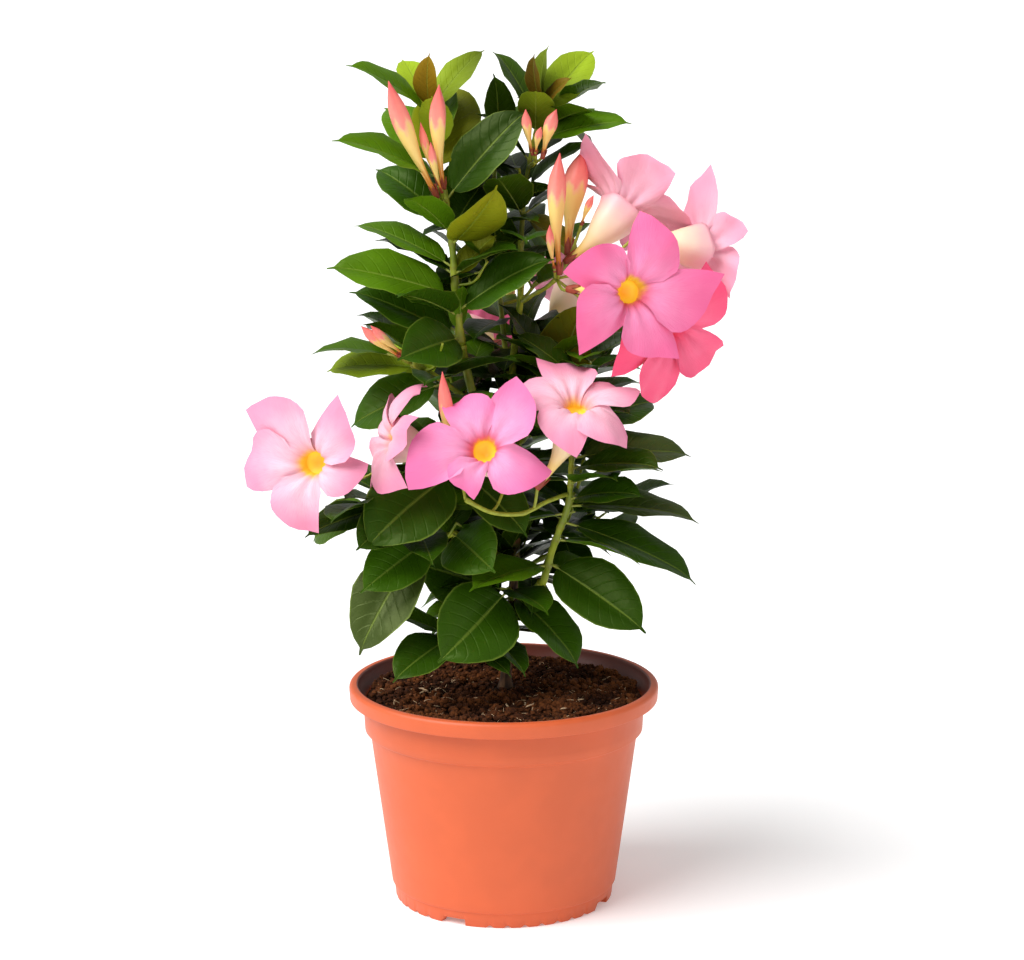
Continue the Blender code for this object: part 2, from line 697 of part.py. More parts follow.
def flower_solid(base, throat, turn, rise, radius, spin):
    """Points and faces of an open trumpet flower, closed, with a hollow throat.

    The axis is a parabola from the base that meets the throat along the way the flower faces.
    Rings of the tube stand square to it, and the petals' edge lies in the plane of the throat.
    """
    base, throat = Vector(base), Vector(throat)
    face = direction(turn, rise)
    knee = throat - face * 0.5 * (throat - base).length
    side = face.cross(Vector((0.0, 0.0, 1.0))).normalized()
    edge = list(petal_edge())
    spun = math.radians(spin)

    def ring(centre, normal, reach):
        u = (side - side.dot(normal) * normal).normalized()
        v = normal.cross(u)
        return [
            centre + r * (math.cos(a + spun) * u + math.sin(a + spun) * v) - normal * b
            for (a, _, _), (r, b) in zip(edge, reach)
        ]

    def axis(t):
        return (1 - t) ** 2 * base + 2 * t * (1 - t) * knee + t * t * throat

    def heading(t):
        return ((1 - t) * (knee - base) + t * (throat - knee)).normalized()

    rings = [ring(axis(t), heading(t), [(r, 0.0)] * len(edge)) for t, r in TUBE_RINGS]
    outline = [(radius * reach, radius * back) for _, reach, back in edge]
    rings.append(ring(throat + face * PETAL_LIFT, face, outline))
    rings.append(ring(throat + face * PETAL_THICK, face, [(TUBE_RINGS[-1][1] - 1.0, 0.0)] * len(edge)))
    return loft(rings, axis(0.0), axis(0.60))


def loft(rings, first, last):
    """Rings of equal count joined in order, and closed in a point at either end."""
    count = len(rings[0])
    points = [first] + [p for ring in rings for p in ring] + [last]
    faces = [(0, 1 + (k + 1) % count, 1 + k) for k in range(count)]
    for i in range(len(rings) - 1):
        a = 1 + i * count
        faces += [(a + k, a + (k + 1) % count, a + count + (k + 1) % count, a + count + k) for k in range(count)]
    a = 1 + (len(rings) - 1) * count
    faces += [(a + k, a + (k + 1) % count, len(points) - 1) for k in range(count)]
    return points, faces


def make_truss(name, truss, stem, room, parts):
    """A stalk with its flowers and buds, fused, whose foot stands clear of the limb it grows on."""
    path = leave(stem, truss["height"], truss["stalk"], STALK_R)
    stalk = Limb(smooth_path(path), (STALK_R, STALK_R))
    pieces = [limb_solid(name, stalk, STEM_SIDES, parts)]
    feet = [flower[0] for flower in truss["flowers"]] + [bud[0] for bud in truss["buds"]]
    for foot in feet:
        foot = Vector(foot)
        start = min(stalk.path[2:], key=lambda p: (p - foot).length + 0.4 * (p - stalk.path[-1]).length)
        bow = start.lerp(foot, 0.5) - Vector((0.0, 0.0, 0.12 * (foot - start).length))
        pedicel = smooth_path([start, bow, foot, foot + (foot - bow).normalized() * 1.5], PEDICEL_SPACING)
        pieces.append(tube("pedicel", pedicel, [PEDICEL_R] * len(pedicel), TWIG_SIDES, parts))
    for flower in truss["flowers"]:
        pieces.append(solid("flower", *flower_solid(*flower), parts))
    for foot, tip, radius in truss["buds"]:
        foot, tip = Vector(foot), Vector(tip)
        path = [foot.lerp(tip, t) for t, _ in BUD_RINGS]
        pieces.append(tube("bud", path, [radius * part for _, part in BUD_RINGS], STEM_SIDES, parts))
    truss_obj = fuse(name, pieces)
    room.add_object(name, truss_obj)
    return truss_obj


def fuse(name, pieces):
    """One closed solid from pieces that overlap, by a single union on a collection."""
    body, rest = pieces[0], pieces[1:]
    if rest:
        group = new_collection(name + "_pieces")
        for piece in rest:
            for owner in list(piece.users_collection):
                owner.objects.unlink(piece)
            group.objects.link(piece)
        union = body.modifiers.new("union", "BOOLEAN")
        union.operation = "UNION"
        union.operand_type = "COLLECTION"
        union.collection = group
        union.solver = "EXACT"
        bpy.context.view_layer.update()
        apply_modifiers(body)
        for piece in rest:
            bpy.data.objects.remove(piece, do_unlink=True)
        bpy.data.collections.remove(group)
    body.name = name
    body.data.name = name
    return body


def paint(obj, colour, roughness):
    obj.data.materials.clear()
    obj.data.materials.append(material(obj.name, colour, roughness))


def main():
    clear_scene()
    parts = new_collection("potted_mandevilla")
    cutters = new_collection("cutters")
    room = Room()

    pot = make_pot(parts)
    soil = make_soil(parts)
    trunk, trunk_limb = make_trunk(parts)
    bpy.context.view_layer.update()
    for obj in (pot, soil, trunk):
        room.add_object(obj.name, obj)

    limbs = {"trunk": trunk_limb}
    for name, (parent, height, points, radii) in BOUGHS.items():
        path = smooth_path(leave(limbs[parent], height, points, radii[0]))
        limbs[name] = Limb(path, radii)
        room.add_object(name, limb_solid(name, limbs[name], TRUNK_SIDES, parts))

    stems = {}
    for name, mass in MASSES.items():
        path = smooth_path(leave(limbs[mass["on"]], mass["height"], mass["stem"], mass["radii"][0]))
        limbs[name] = Limb(path, mass["radii"])
        stems[name] = limb_solid(name, limbs[name], STEM_SIDES, parts)
        room.add_object(name, stems[name])

    trusses = [make_truss(name, truss, limbs[truss["on"]], room, parts) for name, truss in TRUSSES.items()]

    leaves = {name: [] for name in MASSES}
    for name, posed in POSED.items():
        for part, *attitude in posed:
            place_leaf(room, name, limbs[name].at(part)[0], attitude, LEAF_STATIONS, leaves[name])

    twigs = {name: [] for name in MASSES}
    for number, (name, mass) in enumerate(MASSES.items()):
        seed = SEED + 10 * number
        for k, (t, turn) in enumerate(twig_rule(mass, seed)):
            twig = Limb(smooth_path(twig_path(limbs[name], t, turn, mass["twig"])), TWIG_RADII)
            obj = limb_solid("twig", twig, TWIG_SIDES, parts)
            shape = shape_of(obj)
            if not room.is_clear(*shape, own=name):
                bpy.data.objects.remove(obj, do_unlink=True)
                continue
            room.add(name, *shape)
            twigs[name].append(obj)
            rule = leaf_rule(mass, turn + PAIR_STEP, TWIG_PLACES, seed + 1 + k)
            grow_leaves(room, name, twig, rule, leaves[name])
        places = [mix(STEM_SPAN, i / (mass["pairs"] - 1)) for i in range(mass["pairs"])]
        grow_leaves(room, name, limbs[name], leaf_rule(mass, mass["turn"], places, seed + 9), leaves[name])

    for name in MASSES:
        blades = [solid("leaf", *leaf, parts) for leaf in leaves[name]]
        body = fuse(name, [stems[name]] + twigs[name] + blades)
        paint(body, *LEAF_LOOK)
    for truss in trusses:
        paint(truss, *BLOOM_LOOK)
    for name, look in LOOKS.items():
        paint(bpy.data.objects[name], *look)
    cut_notches(pot, cutters)


if __name__ == "__main__":
    main()
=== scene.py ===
"""Potted mandevilla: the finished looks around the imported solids.

Shapes are worked out in millimetres and become metres where a mesh is made. +Z is up, -Y is the
front and +X is the viewer's right. A turn runs round the plant from +X towards +Y, a rise is
measured up from level, and both are degrees.
"""

import math
import random

import bpy
import numpy as np
from bpy.props import FloatProperty, FloatVectorProperty, IntProperty, PointerProperty
from bpy.types import Operator, Panel, PropertyGroup
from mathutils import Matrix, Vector
from mathutils.bvhtree import BVHTree


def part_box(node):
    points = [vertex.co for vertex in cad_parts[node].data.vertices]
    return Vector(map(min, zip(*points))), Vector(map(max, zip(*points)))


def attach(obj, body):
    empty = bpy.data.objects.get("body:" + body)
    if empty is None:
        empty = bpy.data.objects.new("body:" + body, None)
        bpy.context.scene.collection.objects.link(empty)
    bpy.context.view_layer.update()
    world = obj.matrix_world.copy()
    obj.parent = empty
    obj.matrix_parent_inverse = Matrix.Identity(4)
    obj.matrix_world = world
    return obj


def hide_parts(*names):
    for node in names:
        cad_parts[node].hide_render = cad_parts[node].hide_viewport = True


bl_info = {
    "name": "Potted Mandevilla",
    "version": (1, 0, 0),
    "blender": (4, 5, 0),
    "location": "View3D > Sidebar > Mandevilla",
    "description": "Builds a flowering mandevilla in its nursery pot",
    "category": "Add Mesh",
}

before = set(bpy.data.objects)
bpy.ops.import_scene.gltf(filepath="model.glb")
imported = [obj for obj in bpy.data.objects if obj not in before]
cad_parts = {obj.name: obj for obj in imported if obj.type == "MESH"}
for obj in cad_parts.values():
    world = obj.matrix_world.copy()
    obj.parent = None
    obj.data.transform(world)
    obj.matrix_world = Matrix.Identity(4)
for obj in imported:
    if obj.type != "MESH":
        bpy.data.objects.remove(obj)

# Metres in a millimetre, millimetres between neighbouring solids, and the first seed
MM = 0.001
GAP = 0.3
SEED = 11

# Pot: radii and heights of its lip, collar, body, foot ring and raised floor, and its wall
RIM_R = 95.0
RIM_Z = 135.0
LIP_TALL = 9.5
LIP_INNER_R = 90.0
COLLAR_TOP_R = 86.5
COLLAR_FOOT_R = 85.5
COLLAR_FOOT_Z = 106.5
BODY_TOP_R = 82.5
BODY_FOOT_R = 69.5
FOOT_TALL = 9.7
FOOT_R = 67.3
FOOT_INNER_R = 62.0
WALL = 1.6
FLOOR = 1.8
CENTRE_R = 40.0
STEP_R = 38.0
RAISED_Z = 4.5
# Notches of the foot ring: turn of the first tall one, width and height of the tall and the low ones,
# the slant of a tall one's side in degrees, and the turns of the low ones after it
NOTCH_FIRST_TURN = -116.0
NOTCH_LARGE = (14.0, 4.0)
NOTCH_SLANT = 2.2
NOTCH_SMALL = (5.4, 1.5)
NOTCH_SMALL_TURNS = (19.0, 28.0, 37.0, 46.0, 55.0, 64.0, 73.0)

# Soil: its level, its radius and where the trunk comes out of it
SOIL_Z = 127.0
SOIL_R = 84.0
STEM_FOOT = (1.0, 12.0)

# Limbs, as in the solids: points of the centre line, and the radius at the foot and at the tip; then
# the parts of the trunk's way where it has nodes, its flare, and how far apart points are set
TRUNK_PATH = [
    (1, 12, SOIL_Z + GAP), (2, 10, 150), (4, 8, 171), (7, 4, 210), (6, 6, 247),
    (4, 8, 290), (5, 8, 318), (7, 10, 345), (10, 10, 369), (10, 10, 392),
]
TRUNK_RADII = (3.3, 1.9)
TRUNK_NODES = (0.12, 0.24, 0.36, 0.47, 0.58, 0.68, 0.78, 0.87, 0.95)
FLARE_R = 5.2
FLARE_TALL = 11.0
TRUNK_SPACING = 13.0
LIMB_SPACING = 10.0
PEDICEL_SPACING = 20.0

# Boughs: the limb each one leaves, the height where it leaves, points, and radii; then the parts of
# the way where they have nodes
BOUGHS = {
    "left_leader": ("trunk", 247, [(-5, -2, 277), (-18, -10, 314), (-25, -14, 345)], (2.8, 2.5)),
    "right_bough": ("trunk", 181, [(16, -5, 190), (23, -14, 200)], (2.6, 2.4)),
    "low_left_bough": ("trunk", 210, [(-14, -8, 222), (-29, -18, 231)], (2.2, 1.9)),
}
BOUGH_NODES = (0.3, 0.65, 0.99)

# Lumps of the soil: height of the long waves; then size, height and turn of each kind of clod
SOIL_LUMP = 1.6
SOIL_CLODS = [(17.0, 2.6, 0.4), (8.0, 1.6, 1.3), (3.6, 0.9, 0.2), (1.9, 0.5, 0.9)]
# Pale bits that lie on the soil: place, turn in degrees and length
PALE_BITS = [
    (-53, -4, 10, 8), (-49, -6, 160, 6), (-50, -8, 60, 4), (6, -26, 75, 6), (10, -24, 20, 7),
    (13, -28, 110, 6), (16, -32, 60, 8), (14, -22, 150, 4), (2, -30, 95, 5), (46, -24, 40, 6),
    (-16, -20, 130, 5), (36, -40, 15, 4),
]
# Sizes and flatness of crumbs and bits, how many bits there are to a crumb, and lengths of fibres
CRUMB_SIZES = (0.5, 2.8)
CRUMB_FLAT = 0.8
BIT_SIZES = (0.4, 1.4)
BIT_FLAT = 0.55
CRUMBS_TO_A_BIT = 12
FIBRE_LENGTHS = (3.0, 12.0)

# Camera: place in metres, focal length and sensor, degrees that it looks down, and nearest sight
CAMERA_AT = (0.00503, -1.518, 0.555)
CAMERA_LENS = 89.72
CAMERA_SENSOR = 36.0
CAMERA_DOWN = 10.97
CAMERA_NEAR = 0.05

# Studio: half the floor's side in metres, the light that the floor gives, the heights over which the
# light low down turns to the sky's, and the soft sun's spread and the way that it is turned
FLOOR_REACH = 150.0
FLOOR_GLOW = 0.22
HORIZON_BAND = (0.04, 0.16)
SUN_SPREAD = 50.0
SUN_TURNED = (40.0, 0.0, -60.0)

# Painted glow that the throat gives off, standing in for light that its thin wall lets through
THROAT_PAINTED_GLOW = 0.22
# Painted shade: metres from the plant's middle over which leaves turn from their darkest
# to their own colour
LEAF_SHADED = (0.010, 0.055)
# Roughness and level of gloss of each tint of leaf, and the tint of that gloss
LEAF_SHEENS = {
    "dark": (0.30, 0.26), "deep": (0.34, 0.54), "fresh": (0.32, 0.20), "young": (0.40, 0.20),
    "olive": (0.42, 0.16), "bronze": (0.40, 0.20),
}
LEAF_GLOSS = (0.80, 0.95, 0.40)

# Masses: the limb and the height where the stem leaves it (None at the limb's tip), the stem's
# points and radii; then the leaf rule: pairs, first turn, rises and lengths from foot to tip,
# and the number, first turn and length of the side twigs
MASSES = {
    "crown_left": dict(
        on="left_leader", height=None, radii=(2.5, 1.1),
        stem=[(-28, -14, 372), (-30, -12, 401), (-34, -8, 431), (-40, -5, 460), (-44, -2, 486)],
        pairs=6, turn=60, rise=(10, 60), length=(60, 42), twigs=(0, 0, 0),
    ),
    "crown_right": dict(
        on="trunk", height=None, radii=(1.8, 1.0),
        stem=[(12, 12, 429), (17, 12, 459), (23, 10, 485)],
        pairs=6, turn=100, rise=(5, 55), length=(58, 38), twigs=(0, 0, 0),
    ),
    "crown_back": dict(
        on="trunk", height=306, radii=(1.9, 1.0),
        stem=[(4, 22, 314), (0, 27, 345), (-4, 28, 390), (-6, 27, 430), (-4, 24, 462)],
        pairs=9, turn=90, rise=(-5, 50), length=(66, 46), twigs=(2, 40, 40),
    ),
    "mid_back_right": dict(
        on="trunk", height=280, radii=(1.8, 1.1),
        stem=[(20, 24, 290), (38, 36, 305), (52, 42, 330)],
        pairs=5, turn=40, rise=(-5, 35), length=(60, 50), twigs=(1, 100, 34),
    ),
    "low_back": dict(
        on="trunk", height=226, radii=(1.8, 1.1),
        stem=[(4, 30, 236), (2, 50, 247), (0, 62, 264)],
        pairs=3, turn=0, rise=(-20, 20), length=(62, 56), twigs=(1, 90, 34),
    ),
    "mid_left": dict(
        on="left_leader", height=314, radii=(1.7, 1.1),
        stem=[(-38, -20, 326), (-52, -26, 335), (-64, -28, 341)],
        pairs=4, turn=90, rise=(0, 20), length=(56, 50), twigs=(1, 120, 30),
    ),
    "mid_front": dict(
        on="left_leader", height=266, radii=(1.7, 1.3),
        stem=[(-16, -18, 270), (-30, -34, 272)],
        pairs=3, turn=0, rise=(10, 20), length=(54, 50), twigs=(0, 0, 0),
    ),
    "mid_right": dict(
        on="trunk", height=296, radii=(1.7, 1.1),
        stem=[(25, 0, 307), (43, -2, 319), (50, 0, 332)],
        pairs=5, turn=0, rise=(-10, 25), length=(58, 50), twigs=(1, 40, 34),
    ),
    "mid_back_left": dict(
        on="trunk", height=262, radii=(1.8, 1.1),
        stem=[(-8, 26, 272), (-24, 44, 290), (-34, 54, 318)],
        pairs=5, turn=90, rise=(0, 35), length=(60, 50), twigs=(2, 150, 36),
    ),
    "low_left": dict(
        on="low_left_bough", height=None, radii=(1.8, 1.1),
        stem=[(-46, -26, 229), (-62, -34, 246), (-79, -38, 253)],
        pairs=4, turn=0, rise=(-10, 15), length=(58, 50), twigs=(1, 140, 30),
    ),
    "low_right": dict(
        on="right_bough", height=None, radii=(2.4, 1.2),
        stem=[(28, -20, 218), (34, -26, 237), (39, -30, 254), (41, -28, 284), (45, -20, 301)],
        pairs=6, turn=40, rise=(-15, 20), length=(62, 52), twigs=(1, 60, 34),
    ),
    "low_middle": dict(
        on="trunk", height=188, radii=(1.9, 1.4),
        stem=[(4, -6, 192), (3, -14, 196)],
        pairs=2, turn=-90, rise=(-20, -5), length=(56, 52), twigs=(0, 0, 0),
    ),
    "low_front": dict(
        on="trunk", height=166, radii=(1.7, 1.1),
        stem=[(-7, -8, 171), (-20, -18, 171), (-32, -26, 169)],
        pairs=3, turn=0, rise=(-5, -10), length=(46, 46), twigs=(0, 0, 0),
    ),
    "low_back_left": dict(
        on="trunk", height=200, radii=(1.8, 1.1),
        stem=[(-14, 24, 210), (-34, 38, 222), (-50, 46, 242)],
        pairs=4, turn=90, rise=(-20, 20), length=(64, 56), twigs=(2, 170, 36),
    ),
    "low_back_right": dict(
        on="trunk", height=194, radii=(1.8, 1.1),
        stem=[(18, 26, 203), (38, 36, 213), (54, 42, 232)],
        pairs=4, turn=0, rise=(-20, 20), length=(64, 56), twigs=(1, 0, 36),
    ),
}

# Leaves whose attitude shows: place along the stem, turn, rise, roll, length, width and tint
# The tints of posed leaves are partly painted light: fresh, young and olive stand in part for leaves lit from
# the front or from behind, and dark for leaves in shade.
POSED = {
    "crown_left": [
        (0.02, -180, 25, -35, 72, 34, "dark"), (0.05, 150, 20, -40, 60, 30, "dark"),
        (0.03, -125, -5, -50, 60, 34, "dark"), (0.14, -20, 30, 50, 69, 32, "dark"),
        (0.20, -170, 15, -40, 79, 36, "fresh"), (0.28, 15, 45, 30, 36, 20, "olive"),
        (0.32, 155, 20, -15, 72, 26, "fresh"), (0.42, -50, 40, 170, 56, 34, "olive"),
        (0.50, 145, 30, -30, 64, 32, "dark"), (0.60, 5, 48, 50, 73, 34, "dark"),
        (0.68, -155, 22, -30, 74, 30, "fresh"), (0.71, 80, 52, 5, 66, 42, "olive"),
        (0.75, 135, 35, -30, 58, 30, "fresh"), (0.96, -150, 30, -35, 62, 24, "fresh"),
        (0.97, 30, 45, 30, 52, 20, "young"), (0.98, -90, 75, 150, 34, 17, "bronze"),
        (0.05, -78, 72, 20, 32, 14, "fresh"),
    ],
    "crown_right": [
        (0.29, 20, -40, 40, 50, 28, "olive"), (0.77, -12, 12, 30, 60, 26, "fresh"),
        (0.87, 135, 50, 5, 58, 24, "fresh"), (0.93, 40, 42, 40, 58, 26, "young"),
        (0.98, -120, 72, 160, 34, 14, "bronze"), (0.99, -25, 44, 50, 26, 12, "bronze"),
    ],
    "mid_left": [
        (0.35, 168, -25, -50, 66, 34, "dark"), (0.45, 125, 15, -30, 58, 28, "young"),
        (0.68, 165, -3, -32, 60, 30, "young"),
    ],
    "mid_front": [(0.80, -35, -35, 30, 58, 34, "dark"), (0.98, -142, -30, -40, 74, 50, "dark")],
    "mid_right": [(0.45, 20, 70, -100, 64, 36, "olive")],
    "low_left": [
        (0.03, -60, -15, 45, 52, 38, "dark"), (0.27, -135, -22, -45, 60, 34, "dark"),
        (0.33, -150, -55, -35, 80, 42, "deep"), (0.75, -115, -15, -45, 48, 28, "dark"),
        (0.88, -150, -12, -25, 52, 26, "dark"), (0.97, 150, -30, -50, 52, 28, "fresh"),
    ],
    "low_right": [
        (0.14, -33, -26, 40, 76, 40, "dark"), (0.41, -10, -22, 20, 88, 34, "dark"),
        (0.51, -5, -5, 15, 79, 32, "deep"), (0.55, -40, 10, 30, 56, 26, "dark"),
        (0.72, -40, 8, 20, 68, 32, "dark"), (0.78, 12, 0, 25, 74, 34, "deep"),
        (0.96, 35, 10, 30, 60, 32, "dark"),
    ],
    "low_middle": [
        (0.55, -35, -37, 10, 64, 36, "dark"), (0.97, -132, -28, -50, 70, 50, "dark"),
        (0.50, 172, 16, -62, 60, 42, "dark"),
    ],
    "low_front": [(0.97, -132, -18, -25, 54, 30, "dark")],
}

# The leaf rule: turn from pair to pair, spreads of turn, rise, roll and length, and a leaf's slimness
PAIR_STEP = 90.0
TURN_SPREAD = 12.0
RISE_SPREAD = 8.0
ROLL_SPREAD = 15.0
LENGTH_SPREAD = (0.88, 1.08)
LEAF_SLIM = 0.52
STEM_SPAN = (0.12, 0.98)
# The twig rule: where twigs leave the stem, the turn from twig to twig, radii and places of leaves
TWIG_SPAN = (0.25, 0.85)
TWIG_STEP = 137.5
TWIG_SPREAD = 15.0
TWIG_RADII = (1.1, 0.9)
TWIG_RISES = (15.0, 55.0)
TWIG_PLACES = (0.6, 0.97)
# Ways that a leaf of the rule is swung until it lies clear, as steps of turn and of rise
SWINGS = [
    (0, 0), (18, 12), (-18, 12), (0, 25), (30, -12), (-30, -12), (0, -25), (50, 10), (-50, 10),
    (25, 38), (-25, 38), (75, 0), (-75, 0),
]
# The rule for tints: near a crown's tip leaves are young or fresh, and elsewhere dark or fresh
CROWN_TIP = 0.75
YOUNG_SHARE = 0.5
DARK_SHARE = 0.66
# How far a leaf folds up against its half width, the degrees that its midrib bends, and the part of the
# length where the blade begins
LEAF_FOLD = 0.24
LEAF_BEND = 22.0
BLADE_FOOT = 0.10

# Trusses: the limb or stem each one leaves, the height where it leaves, the stalk's points; then
# flowers as base, throat, turn and rise of the face, radius, spin, tint and petals, and the angle to
# the axis that they open to where it isn't PETAL_WIDE. A petal is the degrees that it bends back, its
# length against the radius, and the degrees that it swings round, where it does. Then come the buds
# as foot, tip and radius
TRUSSES = {
    "blooms_right": dict(
        on="trunk", height=369, stalk=[(18, -2, 374), (25, -12, 379), (31, -18, 385)],
        flowers=[
            ((37, -14, 395), (72, -6, 427), 46, 40, 48, 0, "blush",
             ((15, 1.0), (20, 0.95), (0, 1.0), (22, 1.06), (8, 1.02)), 68),
            ((78, -22, 411), (115, -20, 404), 50, -6, 42, 6, "blush",
             ((18, 0.86), (20, 0.85), (-12, 1.15), (0, 1.15), (30, 0.82)), 72),
            ((38, -44, 382), (75, -86, 385), -68, 5, 44, 70, "rose",
             ((22, 1.0, 8), (5, 1.16), (12, 1.04), (30, 0.97, 9), (20, 1.04))),
            ((90, -6, 358), (98, -46, 358), -58, -16, 45, -17, "deep",
             ((22, 1.0), (22, 1.1, -8), (20, 0.98, -12), (20, 1.0), (15, 0.86)), 76),
        ],
        buds=[
            ((33, -23, 389), (33, -20, 459), 5.6), ((38, -8, 399), (47, 4, 459), 7.4),
            ((30, -26, 391), (27, -30, 418), 2.4), ((46, -10, 416), (53, -14, 434), 2.2),
        ],
    ),
    "blooms_front": dict(
        on="low_right", height=258, stalk=[(24, -46, 256), (11, -58, 252), (-7, -64, 254), (-22, -66, 262)],
        flowers=[
            ((20, -54, 267), (43, -66, 323), -84, 66, 42, 32, "pale",
             ((62, 1.0, 5), (66, 1.05, -10), (28, 1.05, -5), (12, 1.05), (34, 1.05))),
            ((0, -50, 264), (-12, -88, 297), -98, 26, 44, 49, "mauve",
             ((46, 0.72, -15), (34, 0.97, -2), (5, 1.06, 10), (35, 0.9), (14, 1.1, 6))),
        ],
        buds=[((-24, -62, 275), (-35, -66, 337), 4.2)],
    ),
    "blooms_left": dict(
        on="left_leader", height=300, stalk=[(-26, -20, 302), (-42, -30, 298), (-60, -34, 288)],
        flowers=[
            ((-40, -46, 278), (-67, -62, 297), -164, 14, 40, 20, "pale",
             ((30, 0.95), (45, 0.95), (35, 0.95), (75, 1.05), (70, 1.05))),
            ((-93, -38, 266), (-112, -76, 285), -116, 5, 44, 50, "pale",
             ((22, 1.0, -5), (42, 0.82, 14), (14, 0.98, 4), (8, 1.18, 16), (32, 1.14, -4))),
        ],
        buds=[],
    ),
    "blooms_back": dict(
        on="trunk", height=335, stalk=[(16, 28, 338), (18, 46, 342), (10, 62, 340)],
        flowers=[
            ((24, 58, 348), (46, 92, 366), 62, 26, 38, 10, "pale",
             ((20, 1.0), (25, 0.95), (15, 1.05), (30, 1.0), (20, 1.0))),
            ((0, 66, 334), (-22, 96, 336), 112, 6, 39, 40, "rose",
             ((25, 1.0), (15, 1.05), (20, 0.95), (20, 1.0), (30, 1.0))),
        ],
        buds=[((8, 66, 346), (2, 84, 396), 5.0)],
    ),
    "buds_top_left": dict(
        on="crown_left", height=429, stalk=[(-36, -19, 431)],
        flowers=[],
        buds=[
            ((-39, -23, 434), (-66, -34, 501), 5.8), ((-35, -21, 439), (-37, -30, 499), 5.0),
            ((-38, -20, 441), (-48, -26, 477), 2.6), ((-36, -23, 437), (-42, -33, 466), 2.4),
        ],
    ),
    "buds_top_right": dict(
        on="crown_right", height=449, stalk=[(19, -4, 453)],
        flowers=[],
        buds=[
            ((17, -8, 458), (13, -14, 484), 3.0), ((23, -9, 456), (31, -16, 484), 4.0),
            ((19, -10, 458), (22, -18, 474), 2.2),
        ],
    ),
    "buds_left": dict(
        on="mid_left", height=333, stalk=[(-54, -33, 337)],
        flowers=[],
        buds=[((-60, -36, 341), (-83, -40, 360), 3.2), ((-58, -38, 343), (-77, -46, 361), 2.8)],
    ),
}
# Dry spurs left by old trusses: the limb, the part of its way where each one leaves, and its end
SPURS = [("low_left", 0.90, (-110, -44, 241))]
# Radii of stalks and pedicels, parts of a stalk's way with nodes, and petals to a flower
STALK_R = 1.3
STALK_NODES = (0.5, 0.98)
PEDICEL_R = 0.9
PETALS = 5

# Blade of a leaf: rows from foot to tip and columns across, fine for posed leaves and few for the
# rest; its thickness, the radius of the stalk, and that of the midrib from foot to tip
FINE_ROWS = (0.0, 0.03, 0.09, 0.18, 0.29, 0.41, 0.53, 0.65, 0.76, 0.84, 0.90, 0.945, 1.0)
FINE_COLUMNS = (-1.0, -0.66, -0.30, 0.0, 0.30, 0.66, 1.0)
PLAIN_ROWS = (0.0, 0.05, 0.17, 0.34, 0.53, 0.72, 0.86, 0.94, 1.0)
PLAIN_COLUMNS = (-1.0, -0.5, 0.0, 0.5, 1.0)
BLADE_THICK = 0.35
PETIOLE_R = 0.8
MIDRIB_R = (0.42, 0.10)
# Places on a blade, as part of the length and of the half width, that must lie on the solid leaf, and
# how many millimetres off it they may be
BLADE_MARKS = ((0.30, 0.0), (0.50, 0.0), (0.70, 0.0), (0.88, 0.0), (0.56, -0.8), (0.56, 0.8))
ON_SOLID = 1.3

# Finer twigs that the scene adds: number on each mass, where they leave its stem, places, sizes and
# attitudes of their leaves, how near the plant's middle they keep, their own length and radii, the
# clear space round them, and the space from leaf to leaf
FILL_TWIGS = 4
FILL_SPAN = (0.08, 0.92)
FILL_PLACES = (0.35, 0.7, 0.97)
FILL_LENGTH = (34.0, 52.0)
FILL_TURN_SPREAD = 15.0
FILL_RISE = (-15.0, 35.0)
FILL_ROLL = (-25.0, 25.0)
FILL_WITHIN = 60.0
FILL_BEHIND = -24.0
FILL_TWIG = (18.0, 34.0)
FILL_RADII = (0.9, 0.6)
FILL_CLEAR = 2.0
FILL_APART = 9.0
FILL_LOOKS_BACK = 40
FILL_SEED = 500

# Flower: parts of the way from base to throat with the tube's radius there, where the bell ends, the
# same for the throat's lining, how thick the walls are, how high the bell's ribs stand, and the
# number of points round a bell or a ring of sepals
TUBE_T = (0.0, 0.10, 0.22, 0.34, 0.46, 0.58, 0.70, 0.80, 0.88, 0.95, 1.0)
TUBE_WIDE = (1.5, 1.8, 2.8, 4.6, 7.6, 10.0, 11.6, 12.6, 13.6, 15.0, 17.0)
BELL_END = 0.92
THROAT_T = (0.72, 0.735, 0.75, 0.77, 0.79, 0.82)
THROAT_WIDE = (2.0, 4.0, 5.4, 6.8, 7.5, 7.9)
THROAT_UNDER = 0.14
BELL_WALL = 0.4
THROAT_WALL = 0.3
BELL_RIBS = 0.05
AROUND = 30
# Petal: radius of its foot and how deep that lies in the flower, the angle to the axis at its foot and
# further out, the way over which it opens, its lowest edge and its point, and what its neighbour hides
PETAL_FOOT = (6.4, 0.195)
PETAL_OPENS = 14.0
PETAL_WIDE = 84.0
PETAL_OPEN_WITHIN = 9.0
PETAL_ROWS = 16
PETAL_THICK = 0.4
PETAL_VALLEY = 0.43
PETAL_TIP = 0.72
PETAL_OVERLAP = 0.24
# Sepals: radius at their foot and length, of a flower, and as parts of a bud's radius
CALYX = (2.2, 9.0)
BUD_CALYX = (0.30, 1.3)
# Bud: places from foot to tip and part of the radius
BUD_T = (0.0, 0.06, 0.16, 0.28, 0.40, 0.50, 0.60, 0.70, 0.80, 0.88, 0.95, 1.0)
BUD_WIDE = (0.22, 0.24, 0.28, 0.38, 0.60, 0.80, 0.94, 0.98, 0.83, 0.54, 0.23, 0.04)


def unit(vectors):
    """Each vector over its length."""
    return vectors / np.linalg.norm(vectors, axis=-1, keepdims=True)


def mix(pair, t):
    """The first at 0, the second at 1, and evenly between."""
    return pair[0] + (pair[1] - pair[0]) * t


def smoothstep(low, high, x):
    """0 below low, 1 above high, and 3k^2 - 2k^3 between them."""
    k = np.clip((np.asarray(x, float) - low) / (high - low), 0.0, 1.0)
    return k * k * (3.0 - 2.0 * k)


